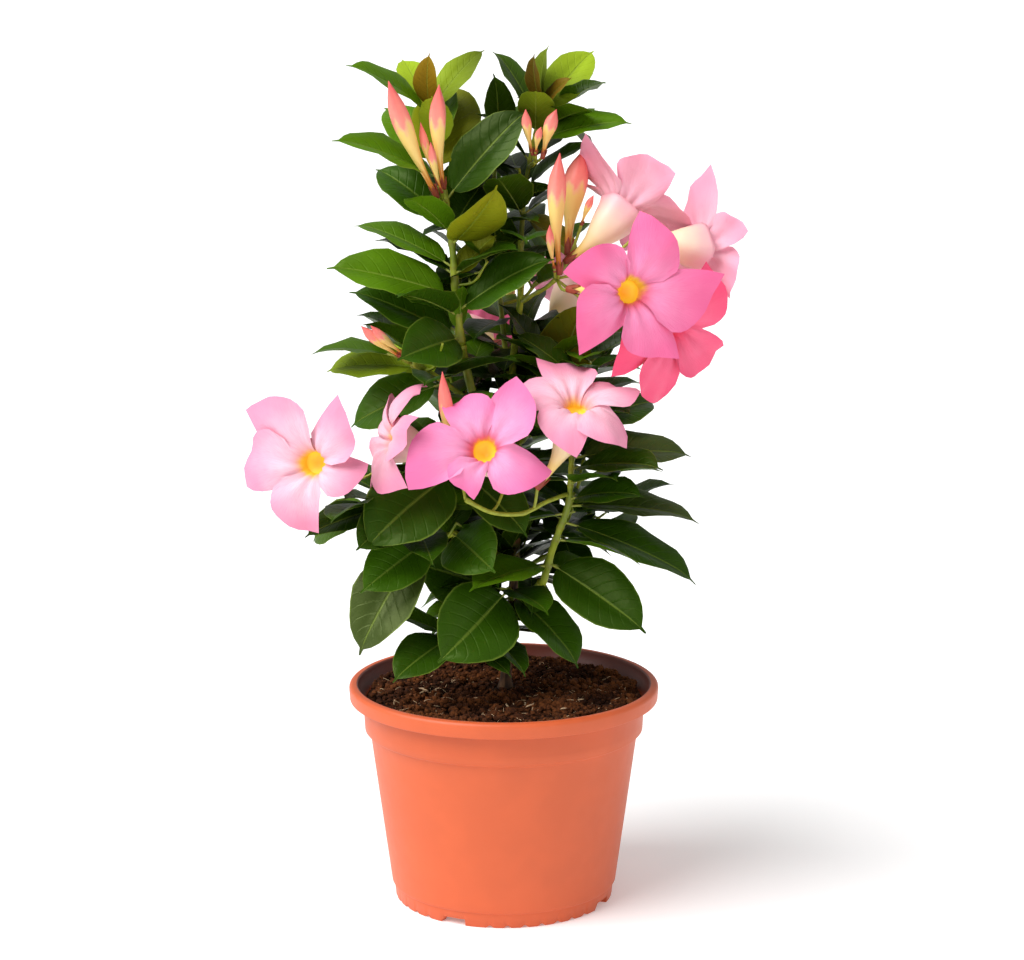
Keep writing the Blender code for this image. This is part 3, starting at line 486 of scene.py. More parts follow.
class Shape:
    """Points, faces and places on the surface, gathered in millimetres for one piece. Edges between
    two rim points stay sharp."""

    def __init__(self):
        self.points = []
        self.places = []
        self.rims = []
        self.faces = []
        self.count = 0

    def add(self, points, faces, places, rim=False):
        """More points, and faces that count from the first of them."""
        points = np.asarray(points, float).reshape(-1, 3)
        self.points.append(points)
        self.rims.append(np.broadcast_to(rim, len(points)))
        self.places.append(np.broadcast_to(places, points.shape).astype(float))
        self.faces += [np.asarray(f) + self.count for f in faces if len(f)]
        self.count += len(points)

    def mesh(self, name):
        """The mesh in metres, smooth, with the places as a vector at each point."""
        mesh = bpy.data.meshes.new(name)
        mesh.vertices.add(self.count)
        mesh.vertices.foreach_set("co", (np.concatenate(self.points) * MM).ravel())
        sizes = np.concatenate([np.full(len(f), f.shape[1]) for f in self.faces])
        corners = np.concatenate([f.ravel() for f in self.faces])
        mesh.loops.add(len(corners))
        mesh.loops.foreach_set("vertex_index", corners.astype(np.int32))
        mesh.polygons.add(len(sizes))
        starts = np.concatenate(([0], np.cumsum(sizes)[:-1]))
        mesh.polygons.foreach_set("loop_start", starts.astype(np.int32))
        mesh.polygons.foreach_set("use_smooth", np.ones(len(sizes), bool))
        place = mesh.attributes.new("place", "FLOAT_VECTOR", "POINT")
        place.data.foreach_set("vector", np.concatenate(self.places).ravel())
        mesh.update(calc_edges=True)
        ends = np.empty(2 * len(mesh.edges), np.int32)
        mesh.edges.foreach_get("vertices", ends)
        rims = np.concatenate(self.rims)[ends.reshape(-1, 2)].all(axis=1)
        sharp = mesh.attributes.new("sharp_edge", "BOOLEAN", "EDGE")
        sharp.data.foreach_set("value", rims)
        mesh.validate()
        return mesh

    def piece(self, name, material, nodes, slot):
        """The finished piece: it rides on the root body and stands for the nodes."""
        obj = bpy.data.objects.new(name, self.mesh(name))
        bpy.context.scene.collection.objects.link(obj)
        obj.data.materials.append(material)
        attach(obj, "root")
        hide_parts(*nodes)


def grid_faces(index):
    """Quads between neighbours of a grid of point numbers, whose outer side is that of the step
    from column to column times the step from row to row."""
    return np.stack([index[:-1, :-1], index[:-1, 1:], index[1:, 1:], index[1:, :-1]], axis=-1).reshape(-1, 4)


def add_shell(shape, grid, thick, places, back_place=(0.0, 0.0, 0.0)):
    """A thin closed shell: the grid of points is its front, whose outer side is that of the step
    from row to row times the step from column to column. Its back is the grid less the normal
    times the thickness, drawn in to the same edge all round."""
    rows, columns = grid.shape[:2]
    normal = unit(np.cross(np.gradient(grid, axis=0), np.gradient(grid, axis=1)) + 1e-12)
    front = np.arange(rows * columns).reshape(rows, columns)
    back = front.copy()
    inner = (rows - 2) * (columns - 2)
    back[1:-1, 1:-1] = rows * columns + np.arange(inner).reshape(rows - 2, columns - 2)
    behind = (grid - normal * thick)[1:-1, 1:-1].reshape(-1, 3)
    points = np.concatenate([grid.reshape(-1, 3), behind])
    places = np.concatenate([places.reshape(-1, 3), places[1:-1, 1:-1].reshape(-1, 3) + back_place])
    rim = np.concatenate([(front == back).ravel(), np.zeros(inner, bool)])
    shape.add(points, [grid_faces(front)[:, ::-1], grid_faces(back)], places, rim)


def add_skin(shape, rings, places, first=None, last=None):
    """A surface through rings of equal count. It closes in a point at either end that is given,
    and otherwise the last ring joins the first one."""
    count, around = rings.shape[:2]
    index = np.arange(count * around).reshape(count, around)
    index = np.concatenate([index, index[:, :1]], axis=1)
    if first is None:
        index = np.concatenate([index, index[:1]])
    points = rings.reshape(-1, 3)
    places = np.broadcast_to(places, rings.shape).reshape(-1, 3)
    faces = [grid_faces(index)]
    if first is not None:
        a, b = index[0, :-1], index[0, 1:]
        c, d = index[-1, :-1], index[-1, 1:]
        poles = np.full(around, len(points))
        faces += [np.stack([poles, b, a], axis=1), np.stack([poles + 1, c, d], axis=1)]
        points = np.concatenate([points, [first, last]])
        places = np.concatenate([places, places[:1], places[-1:]])
    shape.add(points, faces, places)


def rings_on(path, heading, radii, angles, side=None):
    """Rings square to a path: path + radius (cos a u + sin a v), where u is the side direction
    drawn square to the heading and v completes the frame."""
    if side is None:
        side = np.eye(3)[np.abs(heading).max(axis=0).argmin()]
    u = unit(side - (heading @ side)[:, None] * heading)
    v = np.cross(heading, u)
    radii = np.broadcast_to(np.asarray(radii, float).T, (len(angles), len(path))).T[:, :, None]
    across = np.cos(angles)[None, :, None] * u[:, None] + np.sin(angles)[None, :, None] * v[:, None]
    return path[:, None] + radii * across


def circle(sides):
    """Angles that part a full turn evenly."""
    return np.arange(sides) * (2.0 * math.pi / sides)


def add_tube(shape, path, radii, sides, places=(0.0, 0.0, 0.0)):
    """A closed round bar along a path of points."""
    path = np.asarray(path, float)
    heading = unit(np.gradient(path, axis=0))
    rings = rings_on(path, heading, radii, circle(sides))
    places = np.asarray(places, float)
    if places.ndim == 2:
        places = places[:, None]
    add_skin(shape, rings, places, path[0], path[-1])


def smooth_path(points, step=LIMB_SPACING):
    """A Catmull-Rom curve through the points: half of 2b + (c - a)t + (2a - 5b + 4c - d)t^2 +
    (3b - a - 3c + d)t^3 between b and c, sampled about every step millimetres."""
    points = np.array(points, float)
    ends = np.concatenate([[2.0 * points[0] - points[1]], points, [2.0 * points[-1] - points[-2]]])
    path = []
    for a, b, c, d in zip(ends, ends[1:], ends[2:], ends[3:]):
        count = max(1, round(float(np.linalg.norm(c - b)) / step))
        t = (np.arange(count) / count)[:, None]
        path.append(0.5 * (2.0 * b + (c - a) * t + (2.0 * a - 5.0 * b + 4.0 * c - d) * t * t
                           + (3.0 * b - a - 3.0 * c + d) * t ** 3))
    return np.concatenate(path + [points[-1:]])


def way_along(path):
    """How far each point of a path is from its first one, measured along it."""
    return np.concatenate([[0.0], np.cumsum(np.linalg.norm(np.diff(path, axis=0), axis=1))])


class Limb:
    """A tapering limb: its centre line and the radius at its foot and at its tip."""

    def __init__(self, path, radii):
        self.path = path
        self.radii = radii
        way = way_along(path)
        self.length = way[-1]
        self.parts = way / way[-1]

    def radius(self, t):
        """Radius at a part of the length."""
        return mix(self.radii, t)

    def at(self, t):
        """Point and direction at a part of the length."""
        i = min(int(np.searchsorted(self.parts[1:], t)), len(self.path) - 2)
        a, b = self.path[i], self.path[i + 1]
        return mix((a, b), (t - self.parts[i]) / (self.parts[i + 1] - self.parts[i])), unit(b - a)

    def part_at_height(self, z):
        """Part of the length where the centre line first comes to a height."""
        for i in range(len(self.path) - 1):
            a, b = self.path[i, 2], self.path[i + 1, 2]
            if a <= z <= b:
                return mix((self.parts[i], self.parts[i + 1]), (z - a) / (b - a))
        raise ValueError("no point of the limb is at this height")

    def fine(self, step):
        """The centre line drawn again through its own points with finer steps, and its parts."""
        line = smooth_path(self.path, step)
        way = way_along(line)
        return line, way / way[-1]


def leave(parent, height, points, foot_r):
    """The centre line of a limb that leaves its parent's side, or its tip when height is None."""
    points = [np.array(p, float) for p in points]
    if height is None:
        tip, along = parent.at(1.0)
        return [tip + along * GAP, tip + along * (GAP + foot_r)] + points
    t = parent.part_at_height(height)
    start, along = parent.at(t)
    out = points[0] - start
    out = unit(out - (out @ along) * along)
    foot = start + out * (parent.radius(t) + GAP + 0.15)
    return [foot, foot + out * foot_r * 1.2] + points


def direction(turn, rise):
    """The way that a turn and a rise in degrees point."""
    turn, rise = math.radians(turn), math.radians(rise)
    return np.array([math.cos(rise) * math.cos(turn), math.cos(rise) * math.sin(turn), math.sin(rise)])


def leaf_rule(mass, turn, places, seed):
    """The rule's leaves along a limb, as place and attitude: opposite pairs, each turned on."""
    rng = random.Random(seed)
    for i, t in enumerate(places):
        for side in range(2):
            spread = rng.uniform(-TURN_SPREAD, TURN_SPREAD)
            rise = mix(mass["rise"], t) + rng.uniform(-RISE_SPREAD, RISE_SPREAD)
            roll = rng.uniform(-ROLL_SPREAD, ROLL_SPREAD)
            length = mix(mass["length"], t) * rng.uniform(*LENGTH_SPREAD)
            yield t, (turn + PAIR_STEP * i + 180.0 * side + spread, rise, roll, length, LEAF_SLIM * length)


def twig_rule(mass, seed):
    """The side twigs of a mass, as place on its stem, turn and length."""
    rng = random.Random(seed)
    number, first_turn, length = mass["twigs"]
    for k in range(number):
        turn = first_turn + TWIG_STEP * k + rng.uniform(-TWIG_SPREAD, TWIG_SPREAD)
        yield mix(TWIG_SPAN, (k + 0.5) / number), turn, length


def twig_path(stem, t, turn, length):
    """A side twig that leaves the stem low and curves up."""
    foot = stem.at(t)[0]
    low, steep = (direction(turn, rise) for rise in TWIG_RISES)
    knee = foot + 0.45 * length * low
    return [foot, knee, knee + 0.55 * length * steep]


class Leaf:
    """A leaf's root, attitude and size, and the frame that they give: along it, across it and
    out of its upper face."""

    def __init__(self, root, attitude, tint, fine, seed):
        turn, rise, roll, self.length, self.width = attitude
        self.root, self.tint, self.fine, self.seed = root, tint, fine, seed
        self.along = direction(turn, rise)
        upright = unit(np.array([0.0, 0.0, 1.0]) - self.along[2] * self.along)
        across = np.cross(self.along, upright)
        angle = math.radians(roll)
        self.face = math.cos(angle) * upright + math.sin(angle) * across
        self.across = np.cross(self.face, self.along)

    def midrib(self, u):
        """The midrib turns evenly through LEAF_BEND from root to tip, away from the upper face:
        root + length (along (sin(b/2) - sin(b/2 - bu)) + face (cos(b/2 - bu) - cos(b/2))) / b."""
        bend = math.radians(LEAF_BEND)
        angle = bend * (0.5 - np.asarray(u, float)[..., None])
        ahead = (math.sin(bend / 2.0) - np.sin(angle)) / bend
        over = (np.cos(angle) - math.cos(bend / 2.0)) / bend
        return self.root + self.length * (self.along * ahead + self.face * over)

    def marks(self):
        """Points of the blade that show where it lies."""
        u, side = np.array(BLADE_MARKS).T
        half = (side * self.width / 2.0)[:, None]
        return self.midrib(u) + half * self.across + LEAF_FOLD * np.abs(half) * self.face


def on_solid(tree, points):
    """True when every point lies on the solid that the tree was made from."""
    return all(tree.find_nearest(Vector(p * MM), ON_SOLID * MM)[0] is not None for p in points)


def is_clear(trees, points, space):
    """True when no solid comes within the space of any point."""
    return all(tree.find_nearest(Vector(p * MM), space * MM)[0] is None for tree in trees for p in points)


def node_tree(name):
    """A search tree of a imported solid."""
    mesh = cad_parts[name].data
    return BVHTree.FromPolygons([v.co for v in mesh.vertices], [tuple(p.vertices) for p in mesh.polygons])


def rule_tint(rng, t, crown):
    """The tint of a leaf of the rule: young near a crown's tip, and otherwise dealt by chance."""
    draw = rng.random()
    if crown and t > CROWN_TIP:
        return "young" if draw < YOUNG_SHARE else "fresh"
    return "dark" if draw < DARK_SHARE else "fresh"


def is_inner(marks):
    """True for a leaf in the middle or the back of the plant."""
    reach = np.hypot(*(marks[:, :2] - np.array(STEM_FOOT)).T)
    return reach.max() < FILL_WITHIN and marks[:, 1].min() > FILL_BEHIND


class Plant:
    """Limbs, twigs and leaves grown by the rule of the solids, and finer twigs among them."""

    def __init__(self):
        self.limbs = {"trunk": Limb(smooth_path(TRUNK_PATH, TRUNK_SPACING), TRUNK_RADII)}
        for name, (parent, height, points, radii) in BOUGHS.items():
            path = smooth_path(leave(self.limbs[parent], height, points, radii[0]))
            self.limbs[name] = Limb(path, radii)
        for name, mass in MASSES.items():
            path = leave(self.limbs[mass["on"]], mass["height"], mass["stem"], mass["radii"][0])
            self.limbs[name] = Limb(smooth_path(path), mass["radii"])
        self.twigs = []
        self.leaves = []
        self.nodes = {name: [] for name in self.limbs}
        self.trees = {name: node_tree(name) for name in [*MASSES, *TRUSSES]}
        for name, posed in POSED.items():
            for number, (t, *attitude, tint) in enumerate(posed):
                self.nodes[name].append(t)
                leaf = Leaf(self.limbs[name].at(t)[0], attitude, tint, True, number + 7 * len(name))
                self.leaves.append(leaf)
        for number, (name, mass) in enumerate(MASSES.items()):
            self.grow_mass(name, mass, SEED + 10 * number)
        for number, name in enumerate(MASSES):
            self.fill_mass(name, FILL_SEED + number)

    def grow_mass(self, name, mass, seed):
        """The twigs and leaves that the solid of the mass has."""
        stem, tree = self.limbs[name], self.trees[name]
        tints = random.Random(seed + 700)
        for k, (t, turn, length) in enumerate(twig_rule(mass, seed)):
            twig = Limb(smooth_path(twig_path(stem, t, turn, length)), TWIG_RADII)
            if not on_solid(tree, twig.path[1:]):
                continue
            self.twigs.append(twig)
            self.nodes[name].append(t)
            rule = leaf_rule(mass, turn + PAIR_STEP, TWIG_PLACES, seed + 1 + k)
            self.grow_leaves(tree, twig, rule, tints, False)
        places = [mix(STEM_SPAN, i / (mass["pairs"] - 1)) for i in range(mass["pairs"])]
        self.nodes[name] += places
        rule = leaf_rule(mass, mass["turn"], places, seed + 9)
        self.grow_leaves(tree, stem, rule, tints, name.startswith("crown"))

    def grow_leaves(self, tree, limb, rule, tints, crown):
        """Leaves of the rule in the swing that the solid has, or none where it has none."""
        for t, (turn, rise, *rest) in rule:
            tint = rule_tint(tints, t, crown)
            for swing, lift in SWINGS:
                leaf = Leaf(limb.at(t)[0], (turn + swing, rise + lift, *rest), tint, False, len(self.leaves))
                if on_solid(tree, leaf.marks()):
                    self.leaves.append(leaf)
                    break

    def fill_mass(self, name, seed):
        """Finer twigs on the stem with small leaves, each only where it lies clear of all else."""
        rng = random.Random(seed)
        stem, trees = self.limbs[name], list(self.trees.values())
        low, high = (np.array(corner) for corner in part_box(name))
        for k in range(FILL_TWIGS):
            t = mix(FILL_SPAN, (k + rng.random()) / FILL_TWIGS)
            turn = TWIG_STEP * k + rng.uniform(0.0, 360.0)
            twig = Limb(smooth_path(twig_path(stem, t, turn, rng.uniform(*FILL_TWIG))), FILL_RADII)
            if not is_clear(trees, twig.path[1:], FILL_RADII[0] + GAP):
                continue
            grown = []
            for t_leaf in FILL_PLACES:
                for side in range(2):
                    length = rng.uniform(*FILL_LENGTH)
                    spread = rng.uniform(-FILL_TURN_SPREAD, FILL_TURN_SPREAD)
                    base = turn + PAIR_STEP * round(3.0 * t_leaf) + 180.0 * side + spread
                    rise, roll = rng.uniform(*FILL_RISE), rng.uniform(*FILL_ROLL)
                    tint = rule_tint(rng, t_leaf, False)
                    for swing, lift in SWINGS:
                        attitude = (base + swing, rise + lift, roll, length, LEAF_SLIM * length)
                        number = len(self.leaves) + len(grown)
                        leaf = Leaf(twig.at(t_leaf)[0], attitude, tint, False, number)
                        marks = leaf.marks()
                        inside = np.all(marks * MM > low) and np.all(marks * MM < high) and is_inner(marks)
                        if inside and is_clear(trees, marks, FILL_CLEAR) and self.is_apart(leaf, grown):
                            grown.append(leaf)
                            break
            if grown:
                self.twigs.append(twig)
                self.nodes[name].append(t)
                self.leaves += grown

    def is_apart(self, leaf, grown):
        """True when the middle of the leaf is clear of the finer leaves that grew before it."""
        middle = leaf.midrib(0.55)
        others = [*self.leaves[-FILL_LOOKS_BACK:], *grown]
        return all(np.linalg.norm(middle - other.midrib(0.55)) > FILL_APART for other in others)


def triangle_wave(x):
    """Runs evenly from 0 at whole numbers to 1 half way between them."""
    return 1.0 - np.abs(2.0 * (x - np.floor(x)) - 1.0)


def blade_half(w):
    """Part of the half width along the blade: an ellipse drawn out to an oblong, with a short
    narrow tip: the greatest of (4x(1 - x))^0.62, where x = (w / 0.94)^0.9, of 0.17(1 - w) / 0.16 in
    the outer half, up to 0.17, and of 0.03."""
    x = np.clip(w / 0.94, 0.0, 1.0) ** 0.9
    body = (4.0 * x * (1.0 - x)) ** 0.62
    tip = np.clip(0.17 * (1.0 - w) / 0.16, 0.0, 0.17) * (w > 0.5)
    return np.maximum(np.maximum(body, tip), 0.03)


def add_blade(shape, leaf):
    """A leaf's blade, w along it and v across it: midrib + across (v h + sway sin pi w) +
    face (h (0.30|v| + 0.08 sin pi|v| - 0.06 v^4) + waves v^2 sin(beat w) sin(pi w) that grow to the
    edge), where h is its half width, with the last fifth of the tip bent further away. The places
    are w, v and the leaf's own number."""
    w = np.array(FINE_ROWS if leaf.fine else PLAIN_ROWS)[:, None]
    v = np.array(FINE_COLUMNS if leaf.fine else PLAIN_COLUMNS)[None, :]
    rng = random.Random(leaf.seed * 13 + 5)
    half = leaf.width / 2.0 * blade_half(w)
    side = np.abs(v)
    cup = half * (0.30 * side + 0.08 * np.sin(math.pi * side) - 0.06 * side ** 4)
    phase = np.where(v < 0.0, rng.uniform(0.0, 6.3), rng.uniform(0.0, 6.3))
    beat = rng.uniform(1.4, 2.4)
    waves = np.sin(2.0 * math.pi * beat * w + phase)
    cup = cup + 0.045 * leaf.width * side ** 2 * waves * np.sin(math.pi * w)
    droop = 0.9 * leaf.length * np.clip(w - 0.80, 0.0, 1.0) ** 2
    sway = 0.012 * leaf.length * rng.uniform(-1.0, 1.0) * np.sin(math.pi * w)
    middle = leaf.midrib(mix((BLADE_FOOT, 1.0), w[:, 0]))[:, None]
    grid = middle + (v * half + sway)[..., None] * leaf.across + (cup - droop)[..., None] * leaf.face
    places = np.stack(np.broadcast_arrays(w, v, (leaf.seed % 29) / 29.0), axis=-1)
    add_shell(shape, grid, BLADE_THICK, places)
    return grid[:, v.shape[1] // 2]


def add_petiole(shape, leaf):
    """A leaf's stalk: a bar on the first part of the midrib, a little thicker at its root."""
    u = np.array([0.0, 0.04, 0.08, 0.115])
    places = np.stack([u * 0.0, np.full(4, 0.35), np.full(4, 0.5)], axis=-1)
    add_tube(shape, leaf.midrib(u), [PETIOLE_R * 1.15, PETIOLE_R, PETIOLE_R, 0.62], 6, places)


def add_midrib(shape, leaf, middle):
    """A thin rib half sunk in the blade, from its foot to near the tip. It tapers as MIDRIB_R on a
    leaf of 60 millimetres, and goes with the leaf's length."""
    middle = middle[:-2] - leaf.face * 0.7 * BLADE_THICK
    radii = np.linspace(*MIDRIB_R, len(middle)) * (leaf.length / 60.0)
    add_tube(shape, middle, radii, 5 if leaf.fine else 4)


def near_nodes(parts, length, nodes, wide):
    """1 at each node of a limb and e^-(d / wide)^2 at d millimetres from the nearest one."""
    away = (parts[:, None] - np.array(nodes)) * length / wide
    return np.exp(-away ** 2).max(axis=1, initial=0.0)


def add_stem(shape, limb, sides, nodes, seed):
    """A stem with a low swelling at each node: the taper's radius times 1 + 0.32 near_nodes. The
    second place is 1 at a node."""
    line, parts = limb.fine(2.2)
    near = near_nodes(parts, limb.length, nodes, 1.7)
    radii = limb.radius(parts) * (1.0 + 0.32 * near)
    places = np.stack([parts * limb.length / 100.0, near, np.full(len(parts), seed)], axis=-1)
    add_tube(shape, line, radii, sides, places)


def trunk_line():
    """The trunk's centre line with fine steps, straight at its foot where it flares."""
    limb = Limb(smooth_path(TRUNK_PATH, TRUNK_SPACING), TRUNK_RADII)
    above = limb.at(limb.part_at_height(SOIL_Z + FLARE_TALL))[0]
    foot = [mix((limb.path[0], above), k) for k in (0.0, 0.3, 0.65)]
    return limb, smooth_path(foot + [p for p in limb.path if p[2] > SOIL_Z + FLARE_TALL], 1.5)


def add_trunk(shape, relief):
    """The trunk: radius (taper + flare) (1 + 0.22 near_nodes) + relief times ridges, which are sines
    that run up it, broken by others, and fade towards the green top. It ends level on the soil."""
    limb, line = trunk_line()
    parts = np.array([limb.part_at_height(z) for z in line[:, 2]])
    low = np.clip(1.0 - (line[:, 2] - SOIL_Z - GAP) / FLARE_TALL, 0.0, 1.0)
    radii = limb.radius(parts) + (FLARE_R - TRUNK_RADII[0]) * low ** 2
    near = near_nodes(parts, limb.length, TRUNK_NODES, 2.2)
    a = circle(24)[None, :]
    z = line[:, 2][:, None]
    ridges = np.sin(5.0 * a + 0.9 * np.sin(z / 9.0)) + 0.7 * np.sin(9.0 * a - z / 21.0 + 1.0)
    ridges = ridges + 0.8 * np.sin(3.0 * a + z / 5.1) * np.sin(z / 3.3)
    ridges = ridges + 0.5 * np.sin(z / 1.3 + 2.0 * np.sin(a))
    old = 1.0 - smoothstep(0.05, 0.55, parts)[:, None]
    radii = radii[:, None] * (1.0 + 0.22 * near[:, None]) + relief * ridges * (0.15 + 0.85 * old)
    places = np.stack(np.broadcast_arrays(parts[:, None], near[:, None], 0.5 + 0.2 * ridges), axis=-1)
    heading = unit(np.gradient(line, axis=0))
    rings = rings_on(line, heading, radii, circle(24))
    rings[0, :, 2] = SOIL_Z + GAP
    add_skin(shape, rings, places, line[0], line[-1])


def wall_r(z):
    """Outer radius of the pot's body at a height."""
    return mix((BODY_FOOT_R, BODY_TOP_R), (z - FOOT_TALL) / (COLLAR_FOOT_Z - FOOT_TALL))


def arc(middle, radius, start, end, count):
    """Points of a round edge in radius and height, from one angle to the other."""
    return [
        (middle[0] + radius * math.cos(math.radians(k)), middle[1] + radius * math.sin(math.radians(k)))
        for k in np.linspace(start, end, count)
    ]


def pot_profile(lip_round):
    """The pot's outline in radius and height: under the foot, up the outer side, over the rounded
    lip and down the inner side to the middle of the floor."""
    lip_z = RIM_Z - LIP_TALL
    inside_z = RAISED_Z + FLOOR
    outside = [
        (CENTRE_R - 0.5, 0.0), (CENTRE_R, 0.05), (CENTRE_R + 0.9, RAISED_Z - 0.3), (CENTRE_R + 1.3, RAISED_Z),
        (FOOT_INNER_R - 0.4, RAISED_Z), (FOOT_INNER_R, RAISED_Z - 0.3), (FOOT_INNER_R, 0.3),
        (FOOT_INNER_R + 0.3, 0.0), (FOOT_R - 0.4, 0.0), (FOOT_R, 0.3),
        (BODY_FOOT_R - 1.4, FOOT_TALL - 1.2), (BODY_FOOT_R - 1.3, FOOT_TALL - 0.7),
        (BODY_FOOT_R - 0.3, FOOT_TALL - 0.3), (BODY_FOOT_R, FOOT_TALL + 0.2),
    ]
    outside += [(wall_r(z), z) for z in np.linspace(FOOT_TALL + 2.0, COLLAR_FOOT_Z - 3.2, 9)]
    outside += [
        (BODY_TOP_R, COLLAR_FOOT_Z - 1.9), (BODY_TOP_R + 0.2, COLLAR_FOOT_Z - 1.2),
        (COLLAR_FOOT_R - 0.5, COLLAR_FOOT_Z - 0.25), (COLLAR_FOOT_R, COLLAR_FOOT_Z + 0.3),
    ]
    for k in (0.3, 0.6, 0.9):
        outside.append((mix((COLLAR_FOOT_R, COLLAR_TOP_R), k), mix((COLLAR_FOOT_Z, lip_z), k)))
    outside += [(COLLAR_TOP_R, lip_z - 0.4), (COLLAR_TOP_R + 0.4, lip_z + 0.02), (RIM_R - 1.3, lip_z + 0.02)]
    outside += arc((RIM_R - 1.1, lip_z + 0.7), 0.7, -75.0, -10.0, 4)
    outside += arc((RIM_R - lip_round, RIM_Z - lip_round), lip_round, 0.0, 90.0, 7)
    inner_round = 1.4
    inside = arc((LIP_INNER_R + 0.9, RIM_Z - inner_round), inner_round, 90.0, 180.0, 5)
    inside += [
        (LIP_INNER_R - 1.5, lip_z + 1.0), (COLLAR_TOP_R - WALL + 0.3, lip_z - 0.6),
        (COLLAR_TOP_R - WALL, lip_z - 1.6), (COLLAR_FOOT_R - WALL, COLLAR_FOOT_Z + 1.0),
        (BODY_TOP_R - WALL, COLLAR_FOOT_Z - 2.0), (wall_r(inside_z) - WALL - 1.5, inside_z),
        (STEP_R + 1.0, inside_z), (STEP_R, FLOOR), (STEP_R - 2.0, FLOOR),
    ]
    return np.array(outside + inside)


def notch_half(notch):
    """Half the turn, in degrees, that a notch takes of the foot ring."""
    return math.degrees(notch[0] / 2.0 / FOOT_R)


def notch_height(turns):
    """How far the foot ring's lower edge is raised at each turn round the pot: by the tall notch
    in each quarter, which slants on one side, and by low round dips, cos^2, between two of them."""
    raised = np.zeros_like(turns)
    for quarter in range(4):
        start = NOTCH_FIRST_TURN + 90.0 * quarter
        away = (turns - start + 180.0) % 360.0 - 180.0
        half = notch_half(NOTCH_LARGE)
        slant = np.clip((away + half + NOTCH_SLANT) / NOTCH_SLANT, 0.0, 1.0)
        raised = np.maximum(raised, NOTCH_LARGE[1] * slant * (away <= half))
        for turn in NOTCH_SMALL_TURNS:
            away = np.abs((turns - start - turn + 180.0) % 360.0 - 180.0)
            dip = np.cos(math.pi / 2.0 * np.clip(away / notch_half(NOTCH_SMALL), 0.0, 1.0)) ** 2
            raised = np.maximum(raised, NOTCH_SMALL[1] * dip)
    return raised


def pot_turns():
    """Turns of the pot's facets, with close ones at the sides of a notch."""
    turns = list(np.arange(0.0, 360.0, 2.0))
    for quarter in range(4):
        start = NOTCH_FIRST_TURN + 90.0 * quarter
        half = notch_half(NOTCH_LARGE)
        turns += [(start + away) % 360.0 for away in (-half - NOTCH_SLANT, -half, half - 0.1, half + 0.1)]
        half = notch_half(NOTCH_SMALL)
        for turn in NOTCH_SMALL_TURNS:
            turns += [(start + turn + k * half) % 360.0 for k in (-1.0, -0.6, -0.3, 0.0, 0.3, 0.6, 1.0)]
    return np.unique(np.round(turns, 3))


def add_pot(shape, lip_round):
    """The pot: its profile turned about the middle. Points of the foot ring's underside are
    raised to the height of the notch at their turn."""
    profile = pot_profile(lip_round)
    turns = pot_turns()
    angles = np.radians(turns)
    r, z = profile[:, 0][:, None], profile[:, 1][:, None]
    foot = (r > FOOT_INNER_R - 0.2) & (r < FOOT_R + 0.2) & (z < 1.0)
    lifted = np.where(foot, z + notch_height(turns)[None, :], z)
    slope = (BODY_FOOT_R - 1.4 - FOOT_R) / (FOOT_TALL - 1.2)
    r = np.where(foot & (r > FOOT_R - 1.0), r + slope * (lifted - z), r)
    rings = np.stack(np.broadcast_arrays(r * np.cos(angles), r * np.sin(angles), lifted), axis=-1)
    add_skin(shape, rings, (0.0, 0.0, 0.0), (0.0, 0.0, 0.0), (0.0, 0.0, FLOOR))


def clods(x, y, size, turn):
    """Lumps from 0 to 1 with sharp creases between them: the root of |sin pi u sin pi v| on turned
    axes u and v, counted in lumps and bent by sines of each other."""
    u = (x * math.cos(turn) + y * math.sin(turn)) / size
    v = (y * math.cos(turn) - x * math.sin(turn)) / size
    bent_u = u + 0.6 * np.sin(1.7 * v + 0.6) + 0.25 * np.sin(3.1 * v)
    bent_v = v + 0.6 * np.sin(1.3 * u) + 0.25 * np.sin(3.7 * u)
    return np.sqrt(np.abs(np.sin(math.pi * bent_u) * np.sin(math.pi * bent_v)))


def soil_height(x, y):
    """Height of the soil over its level: long waves and lumps of four sizes, less near the stem's
    foot."""
    waves = np.sin(0.11 * x + 1.3) * np.cos(0.13 * y) + 0.6 * np.sin(0.23 * x - 0.19 * y)
    lumps = sum(tall * (clods(x, y, size, turn) - 0.55) for size, tall, turn in SOIL_CLODS)
    away = np.hypot(x - STEM_FOOT[0], y - STEM_FOOT[1])
    return (SOIL_LUMP * waves + lumps) * smoothstep(5.0, 16.0, away)


def add_soil(shape):
    """The soil: plain floor and sides inside the pot, and a top of rings from the edge to the middle
    at the level of the soil plus soil_height."""
    angles = circle(420)
    inside_z = RAISED_Z + FLOOR + GAP
    top_r = COLLAR_TOP_R - WALL - GAP - 0.4
    under = [
        (STEP_R - 2.0, FLOOR + GAP), (STEP_R - 0.4, FLOOR + GAP), (STEP_R + 0.6, inside_z),
        (wall_r(inside_z) - WALL - 1.5 - 2.0 * GAP, inside_z),
        (BODY_TOP_R - WALL - 2.0 * GAP, COLLAR_FOOT_Z - 2.0),
        (COLLAR_FOOT_R - WALL - GAP, COLLAR_FOOT_Z + 1.4), (top_r, SOIL_Z - 2.0),
    ]
    over = [(r, SOIL_Z) for r in np.linspace(top_r - 0.5, 1.0, 150)]
    profile = np.array(under + over)
    r, z = profile[:, 0][:, None], profile[:, 1][:, None]
    x, y = r * np.cos(angles), r * np.sin(angles)
    z = np.where(z > SOIL_Z - 0.5, z + soil_height(x, y), z)
    rings = np.stack([x, y, z], axis=-1)
    add_skin(shape, rings, (0.0, 0.0, 0.0), (0.0, 0.0, FLOOR + GAP), (0.0, 0.0, SOIL_Z))


